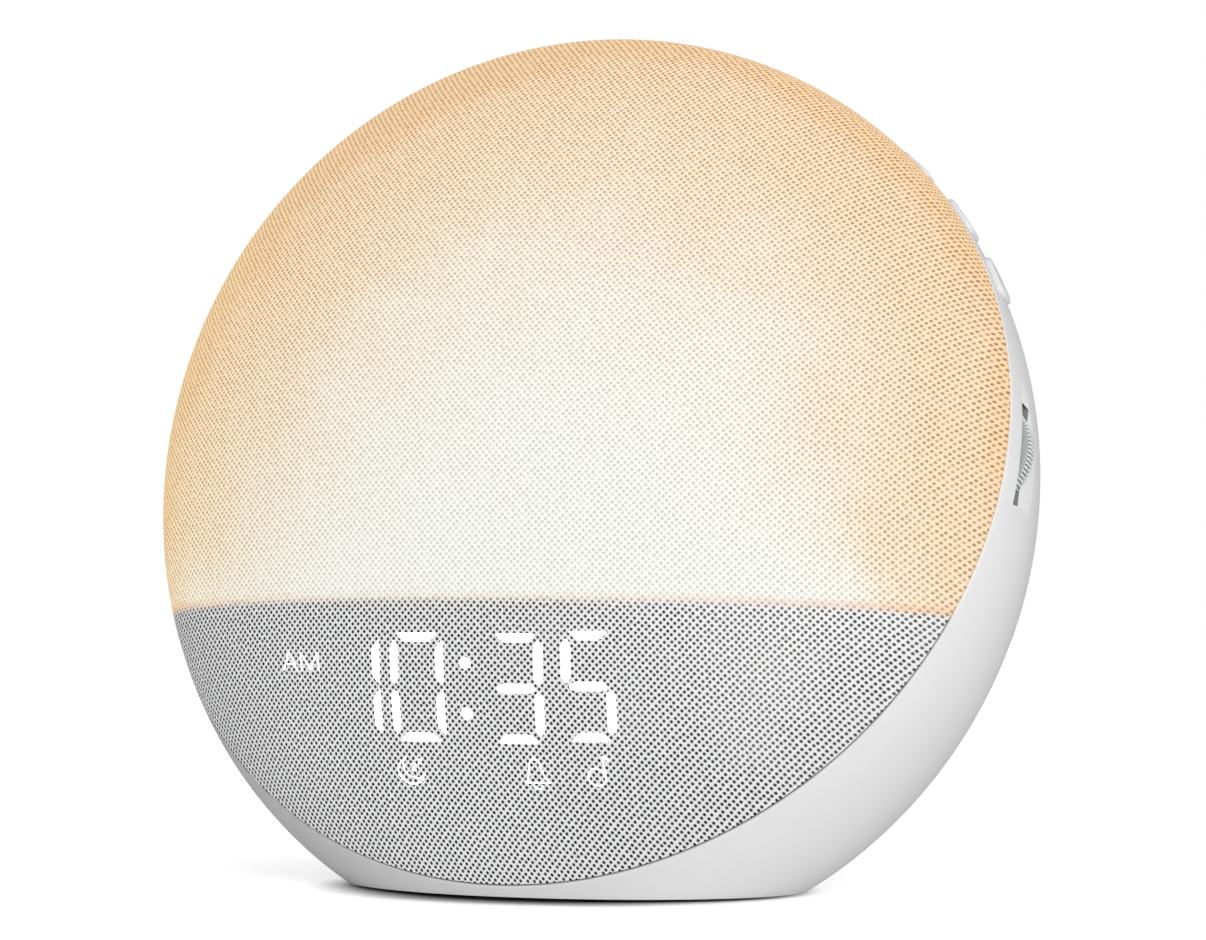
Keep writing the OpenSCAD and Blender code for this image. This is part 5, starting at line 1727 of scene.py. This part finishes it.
@dataclass
class Thumbwheels:
    """A ribbed thumbwheel on each side, and the scoop and slot that it stands in."""

    oval: Oval
    radius: float = 10.9
    thickness: float = 2.8
    s: float = 3.9
    proud: float = 1.3
    edge: float = 0.35
    scoop_m: float = 5.4
    scoop_depth: float = 1.75
    scoop_slope: float = 16.0
    scoop_fillet: float = 0.5
    scoop_s: Pair = (-6.1, 19.1)
    slot_gap: float = 0.4
    slot_room: float = 1.5
    slot_half_w: float = 1.9
    slot_short: float = 0.02
    ribs: int = 90
    rib_depth: float = 0.45
    rib_half_w: float = 0.18
    rib_root: float = -0.3
    rib_ends: tuple[Pair, ...] = ((0.1, -0.2), (0.45, 0.0))
    shaft_r: float = 1.5
    hub_r: float = 4.0
    hub_h: float = 0.4
    dish: tuple[float, float, float] = (7.5, 6.9, 0.5)

    @property
    def front(self) -> float:
        """M of the wheel's front face."""
        return self.scoop_m - self.slot_gap

    @property
    def back(self) -> float:
        """M of the wheel's back face."""
        return self.front - self.thickness

    @property
    def axle(self) -> Placing:
        """The right wheel's axle, forward along M."""
        side = self.side_x(self.s, self.front - self.thickness / 2)
        return self.oval.seam.moved(side + self.proud - self.radius, self.s, 0)

    def side_x(self, s: float, m: float) -> float:
        """Distance of the body's side from the middle plane."""
        start = self.oval.seam.out(np.array([[0, s, m]]))
        return float(self.oval.hit(start, np.array([1.0, 0, 0]))[0, 0])

    def scoop(self, side: Side) -> Object:
        """The tool that cuts the finger scoop: a prism along S.

        Args:
            side: The side that it cuts.

        Returns:
            The solid.
        """
        x = self.side_x(self.s, self.scoop_m) - self.scoop_depth
        rise, far, long = math.tan(math.radians(self.scoop_slope)), 30, 25
        fillet, bevel = self.scoop_fillet, 0.15
        outline = [(far, 0), (fillet, 0), (bevel, -bevel), (fillet * rise, -fillet),
                   (long * rise, -long), (far, -long)]
        build, n = Build(), len(outline)
        for s in self.scoop_s:
            row = np.array([(x + dx, s, self.scoop_m + dm) for dx, dm in outline])
            build.add(self.oval.seam.out(row) * side.flip)
        build.strip(0, n, n)
        build.faces += [tuple(range(n))[::-1], tuple(range(n, 2 * n))]
        return closed(build.make("scoop"))

    def slot(self, side: Side) -> Object:
        """The round tool that cuts the slot through the wall for the wheel.

        Args:
            side: The side that it cuts.

        Returns:
            The solid.
        """
        r, back = self.radius + self.slot_room, self.back - self.slot_gap
        front = self.scoop_m - self.slot_short
        build = Build()
        build.lathe(self.axle, [(0, back), (r, back), (r, front), (0, front)], 96)
        return closed(mirrored(build.make("slot"), side))

    def mark_slot(self, housing: Object) -> None:
        """Sets the housing's face attribute "inner" to 1 on the slots' walls, which take painted shade,
        and to 0 elsewhere.

        Args:
            housing: The finished housing.
        """
        faces, slack = housing.data.polygons, 0.1
        middle, normal = read(faces, "center") / MM, read(faces, "normal")
        mirror = np.stack([np.sign(middle[:, 0]), np.ones(len(faces)), np.ones(len(faces))], 1)
        axle, back = self.axle, self.back - self.slot_gap
        local, facing = axle.into(middle * mirror), (normal * mirror) @ axle.axes.T
        radial = np.hypot(local[:, 0], local[:, 1])
        inward = -(local[:, :2] * facing[:, :2]).sum(1) / np.maximum(radial, 1e-6)
        within = np.abs(local[:, 2] - (back + self.scoop_m) / 2) < self.slot_half_w
        near = (radial < self.radius + self.slot_room + slack) & within
        inner = near & ((inward > 0.5) | (np.abs(facing[:, 2]) > 0.9) & (local[:, 2] < back + slack))
        housing.data.attributes.new("inner", "FLOAT", "FACE").data.foreach_set("value", inner.astype(float))

    def mark_core(self, wheel: Object, side: Side) -> None:
        """Sets a wheel's attribute "inner" to 1 inside the ribs' feet and to 0 on the ribs. Where it is 1
        the wheel is painted grey: on its faces, and as painted shade between the ribs.

        Args:
            wheel: The finished wheel.
            side: The side that it is on.
        """
        local = self.axle.into(read(wheel.data.vertices, "co") / MM * side.flip)
        inner = (np.hypot(local[:, 0], local[:, 1]) < self.radius - self.rib_depth + 0.05).astype(float)
        wheel.data.attributes.new("inner", "FLOAT", "POINT").data.foreach_set("value", inner)

    def rib(self) -> Object:
        """One rounded rib: x outwards from the ribs' feet, y round the wheel, z along M.

        Returns:
            The item that is repeated round the wheel.
        """
        w, soft, foot, rings = self.rib_half_w, 0.12, self.rib_root, []
        ends = [(self.back + dm, lift) for dm, lift in self.rib_ends]
        ends += [(self.front - dm, lift) for dm, lift in self.rib_ends[::-1]]
        for m, lift in ends:
            h = self.rib_depth + lift
            rings.append(np.array([(foot, -w, m), (h - soft, -w, m), (h, -w * 0.45, m),
                                   (h, w * 0.45, m), (h - soft, w, m), (foot, w, m)]))
        build = Build()
        build.loft(rings, rings[0].mean(0), rings[-1].mean(0))
        return build.make("rib")

    def wheel(self, side: Side, finish: Material) -> Object:
        """The wheel: a turned body and a ring of rounded ribs.

        Args:
            side: The side that it is on.
            finish: Its material.

        Returns:
            The piece, riding on the wheel's own body.
        """
        axle, back, front, edge = self.axle, self.back, self.front, self.edge
        root, r, hub = self.radius - self.rib_depth, self.shaft_r, self.hub_r
        rim, floor, deep = self.dish
        body = Build()
        body.lathe(axle, [
            (r, back - self.hub_h), (hub, back - self.hub_h), (hub, back), (root - edge, back),
            (root, back + edge), (root, front - edge), (root - edge, front),
            (rim, front), (floor, front - deep), (r, front - deep)], 120)
        places = []
        for k in range(self.ribs):
            a = 2 * math.pi * k / self.ribs
            out = math.cos(a) * axle.axes[0] + math.sin(a) * axle.axes[1]
            along = -math.sin(a) * axle.axes[0] + math.cos(a) * axle.axes[1]
            places.append(Placing(axle.origin + root * out, np.array([out, along, axle.axes[2]])))
        ribs = repeat("ribs", self.rib(), places)
        wheel = mirrored(merged(f"{side.word}_ribbed_wheel", [body.make("disc"), ribs]), side)
        self.mark_core(wheel, side)
        shade(wheel.data, 35.0)
        return dress(wheel, finish, f"{side.word}_wheel", f"{side.word}_thumbwheel")


@dataclass
class Fasteners:
    """The cross-head screws that show from behind and from below.

    Each is given as thread diameter, head diameter, head height and length.
    """

    case: tuple[float, float, float, float] = (3.0, 6.0, 2.0, 14.0)
    base: tuple[float, float, float, float] = (2.2, 4.4, 1.4, 7.2)
    spread: float = 1.5
    thread_pitch: float = 0.5
    thread_root: float = 0.86

    def screw(self, d: float, head_d: float, head_h: float, length: float) -> Object:
        """A pan-head screw about the origin: its seat at 0, its head upwards.

        Args:
            d: Diameter of the thread.
            head_d: Diameter of the head.
            head_h: Height of the head.
            length: Length under the head.

        Returns:
            The screw with its cross cut in.
        """
        r, k, thread, z = d / 2, head_d / 2, [], -length
        while z < -0.6:
            thread += [(r * self.thread_root, z), (r, z + self.thread_pitch / 2)]
            z += self.thread_pitch
        build = Build()
        build.lathe(Placing(np.zeros(3), np.eye(3)), [
            (0, -length - 0.3), *thread, (r, 0), (k, 0), (k, head_h * 0.45), (k * 0.86, head_h * 0.82),
            (k * 0.55, head_h), (0, head_h)], 24)
        w, l, tools = head_d * 0.085, head_d * 0.3, []
        for c, s in ((1, 0), (0, 1)):
            rings = [np.array([(x * c - y * s, x * s + y * c, h)
                               for x, y in ((-l * g, -w), (l * g, -w), (l * g, w), (-l * g, w))])
                     for g, h in ((0.45, head_h * 0.25), (1.0, head_h + 0.2))]
            cross = Build()
            cross.loft(rings, rings[0].mean(0), rings[1].mean(0))
            tools.append(cross.make("cross"))
        return combine(build.make("screw"), tools)

    def fit(self, node: str, sizes: Sequence[float], places: Sequence[Placing], finish: Material) -> Object:
        """Puts equal screws in their places.

        Args:
            node: The solid that they replace.
            sizes: What screw() takes.
            places: Where they go.
            finish: Their material.

        Returns:
            One piece with all of them.
        """
        name = node.removesuffix("s") + "_set"
        screws = repeat(name, self.screw(*sizes), places, finish, self.spread)
        shade(screws.data, 30.0)
        return dress(screws, finish, node)

    def case_screws(self, housing: RearHousing, finish: Material) -> Object:
        """The four long screws down the wells in the rear."""
        places = [p.moved(0, 0, -housing.well_end) for p in housing.wells()]
        return self.fit("case_screws", self.case, places, finish)

    def base_screws(self, finish: Material) -> Object:
        """The four short screws up through the base plate, found from their solids.

        Args:
            finish: Their material.

        Returns:
            The piece.
        """
        points = np.array([v.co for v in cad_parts["base_screws"].data.vertices]) / MM
        off = points - (points.min(0) + points.max(0)) / 2
        places = []
        for side in (-1, 1):
            for way in (-1, 1):
                own = points[(off[:, 0] * side > 0) & (off[:, 1] * way > 0)]
                x, y, _ = (own.min(0) + own.max(0)) / 2
                seat = np.array([x, y, own[:, 2].min() + self.base[2]])
                places.append(Placing(seat, np.diag([1.0, -1.0, -1.0])))
        return self.fit("base_screws", self.base, places, finish)


@dataclass
class PowerInlet:
    """The round low-voltage inlet: a threaded neck, its nut and its pin."""

    y: float = 35.92
    z: float = 23.69
    neck: float = 8.0
    bore: float = 5.6
    body_d: float = 11.0
    body_span: Pair = (-16.0, -3.0)
    out: float = 5.0
    depth: float = 10.0
    threads: int = 6
    thread_pitch: float = 0.75
    nut_w: float = 10.0
    nut_t: float = 2.0
    pin_r: float = 1.0

    @property
    def place(self) -> Placing:
        """The inlet's seat, looking out of the back."""
        return Placing(np.array([0, self.y, self.z]), OUT_OF_BACK)

    def build(self, plastic: Material, metal: Material) -> list[Object]:
        """Makes the moulded socket with its thread, the hexagon nut and the round-tipped pin.

        Args:
            plastic: The socket's material.
            metal: The nut's and the pin's material.

        Returns:
            The three pieces.
        """
        r, b, d, (low, high), edge = self.neck / 2, self.bore / 2, self.body_d / 2, self.body_span, 0.4
        thread = [p for k in range(self.threads) for p in (
            (r - 0.3, 0.3 + self.thread_pitch * k), (r, 0.3 + self.thread_pitch * (k + 0.5)))]
        socket = Build()
        socket.lathe(self.place, [
            (0, low), (d - edge, low), (d, low + edge), (d, high), (r, high), *thread,
            (r - 0.3, self.out - 0.1), (r - 0.4, self.out), (b + 0.45, self.out), (b, self.out - 0.45),
            (b, self.out - self.depth), (0, self.out - self.depth)], 48)

        # The nut's corners are turned off, so no ring reaches farther out than its profile does.
        n, t, gap, nut = 96, self.nut_t, 0.05, Build()
        flat = self.nut_w / 2 / np.cos((around(n) + math.pi / 6) % (math.pi / 3) - math.pi / 6)
        profile = ((r + gap, 0.0), (9, 0.0), (9, t - 0.55), (5.4, t - 0.25), (4.95, t), (r + 0.35, t),
                   (r + gap, t - 0.3))
        nut.loft([self.place.out(circle(np.minimum(flat, most), h, n)) for most, h in profile])
        nut.strip(nut.count - n, 0, n)

        low, top, p, pin = self.out - self.depth, self.out - self.pin_r, self.pin_r, Build()
        tip = [(p * math.cos(t), top + p * math.sin(t)) for t in np.linspace(0, math.pi / 2, 7)[:-1]]
        pin.lathe(self.place, [(0, low), (p, low), *tip, (0, top)], 32)
        return [dress(socket.make("inlet_socket", sharp=25.0), plastic, "power_inlet"),
                dress(nut.make("hexagon_nut", sharp=22.0), metal, "inlet_nut"),
                dress(pin.make("centre_pin"), metal, "inlet_pin")]


# ---------------------------------------------------------------- studio


@dataclass
class Studio:
    """The white table, the light and the camera. Lamps stand at places in metres."""

    centre: tuple[float, float, float]
    azimuth: float = 0.4396
    elevation: float = -0.0383
    distance: float = 590.2
    focal_px: float = 3287.62
    sensor: float = 36.0
    shift: Pair = (0.01235, 0.01752)
    table_rings: tuple[float, ...] = (150.0, 400.0, 1500.0, 6000.0)
    ambient: float = 0.36
    lamps: tuple[tuple[str, tuple[float, float, float], float, float], ...] = (
        ("key_light", (0.842, -1.058, 0.432), 0.8, 13.5),
        ("rim_light", (1.339, 0.359, 0.3), 0.5, 0.9),
    )

    def floor(self) -> None:
        """The table: a large flat disc."""
        build, n = Build(), 64
        rings = [build.add(circle(r, 0.0, n)) for r in self.table_rings]
        for inner, outer in zip(rings, rings[1:]):
            build.strip(outer, inner, n)
        build.fan(0, n, build.add(np.zeros((1, 3))))
        obj = build.make("table")
        # Painted board: a diffuse white with a faint mottle, a painted contact shadow, and light added
        # for the camera only.
        obj.data.materials.append(PaintedTable("painted_table", "#F6F6F6", "#F2F2F2", 0.9).build())
        obj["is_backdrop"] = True

    def world(self) -> None:
        """White behind everything for the camera, and an even grey light from all round."""
        world = bpy.context.scene.world or bpy.data.worlds.new("studio")
        bpy.context.scene.world = world
        world.use_nodes = True
        world.node_tree.nodes.clear()
        graph = Graph(world.node_tree)
        light, seen = (graph.add("Background", {"Color": (1, 1, 1, 1), "Strength": strength})
                       for strength in (self.ambient, 1.0))
        camera = graph.add("LightPath").outputs["Is Camera Ray"]
        graph.add("OutputWorld", {"Surface": graph.add("MixShader", (camera, light, seen))})

    def lamp(self, name: str, at: tuple[float, float, float], size: float, power: float) -> None:
        """A square soft box that looks at the body's centre.

        Args:
            name: Its name.
            at: Its place, in metres.
            size: Its side, in metres.
            power: Its power, in watts.
        """
        light = bpy.data.lights.new(name, "AREA")
        light.shape, light.size, light.energy = "SQUARE", size, power
        obj = linked(name, light)
        obj.location = at
        obj.rotation_euler = (Vector(self.centre) * MM - Vector(at)).to_track_quat("-Z", "Y").to_euler()
        obj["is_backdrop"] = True

    def camera(self) -> None:
        """The camera, which looks slightly upwards from the front right."""
        data = bpy.data.cameras.new("camera")
        data.sensor_width = self.sensor
        data.lens = self.focal_px * self.sensor / PICTURE_W
        data.shift_x, data.shift_y = self.shift
        data.clip_start, data.clip_end = 0.01, 50.0
        obj = linked("camera", data)
        az, el = self.azimuth, self.elevation
        back = Vector((math.sin(az) * math.cos(el), -math.cos(az) * math.cos(el), math.sin(el)))
        obj.location = (Vector(self.centre) + back * self.distance) * MM
        obj.rotation_euler = (-back).to_track_quat("-Z", "Y").to_euler()
        bpy.context.scene.camera = obj

    def build(self) -> None:
        """Sets everything up."""
        self.floor()
        self.world()
        for lamp in self.lamps:
            self.lamp(*lamp)
        self.camera()
        bpy.context.scene.view_settings.view_transform = "Standard"


# ---------------------------------------------------------------- the whole clock


def box_now() -> list[list[float]]:
    """The shown object's lowest and highest corner, in metres."""
    bpy.context.view_layer.update()
    return [list(corner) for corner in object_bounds()]


def main() -> None:
    """Builds every sub-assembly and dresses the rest."""
    logging.basicConfig(level=logging.INFO, format="%(name)s: %(message)s")
    sizes = {"frame": box_now()}
    oval = Oval()
    made = {slot: finish.build() for slot, finish in finishes().items()}
    keys, wheels, housing = SideKeys(oval), Thumbwheels(oval), RearHousing(oval)
    screws, inlet, display = Fasteners(), PowerInlet(), TimeDisplay(oval)
    tools = keys.windows() + [make(side) for side in Side for make in (wheels.scoop, wheels.slot)]
    pieces = [housing.build(tools, made["white_shell"])]
    # The slots' walls take painted shade.
    wheels.mark_slot(pieces[0])
    pieces.append(WovenCover(oval).build(made["woven_cover"]))
    # White light-emitting diodes behind the cloth, drawn as plates on it with a painted glow: a crisp
    # white that the threads veil a little.
    lit = Lit("white_lamps_through_cloth", "#FFFFFF", "#F6F8FA", 0.6, strength=1.15).build()
    pieces += [display.build("1035", lit), display.signs(lit)]
    pieces += [keys.key(side, n, made["white_key"]) for side in Side for n in range(keys.count)]
    pieces += [wheels.wheel(side, made["white_wheel"]) for side in Side]
    steel = made["screw_steel"]
    pieces += [screws.case_screws(housing, steel), screws.base_screws(steel)]
    pieces += inlet.build(made["black_plastic"], made["nickel_steel"])
    dress_solids(made)
    for piece in pieces:
        piece.data.calc_loop_triangles()
        LOG.info("%s: %d triangles", piece.name, len(piece.data.loop_triangles))
    Studio(tuple(oval.centre)).build()
    sizes["dressed"] = box_now()


if __name__ == "__main__":
    main()
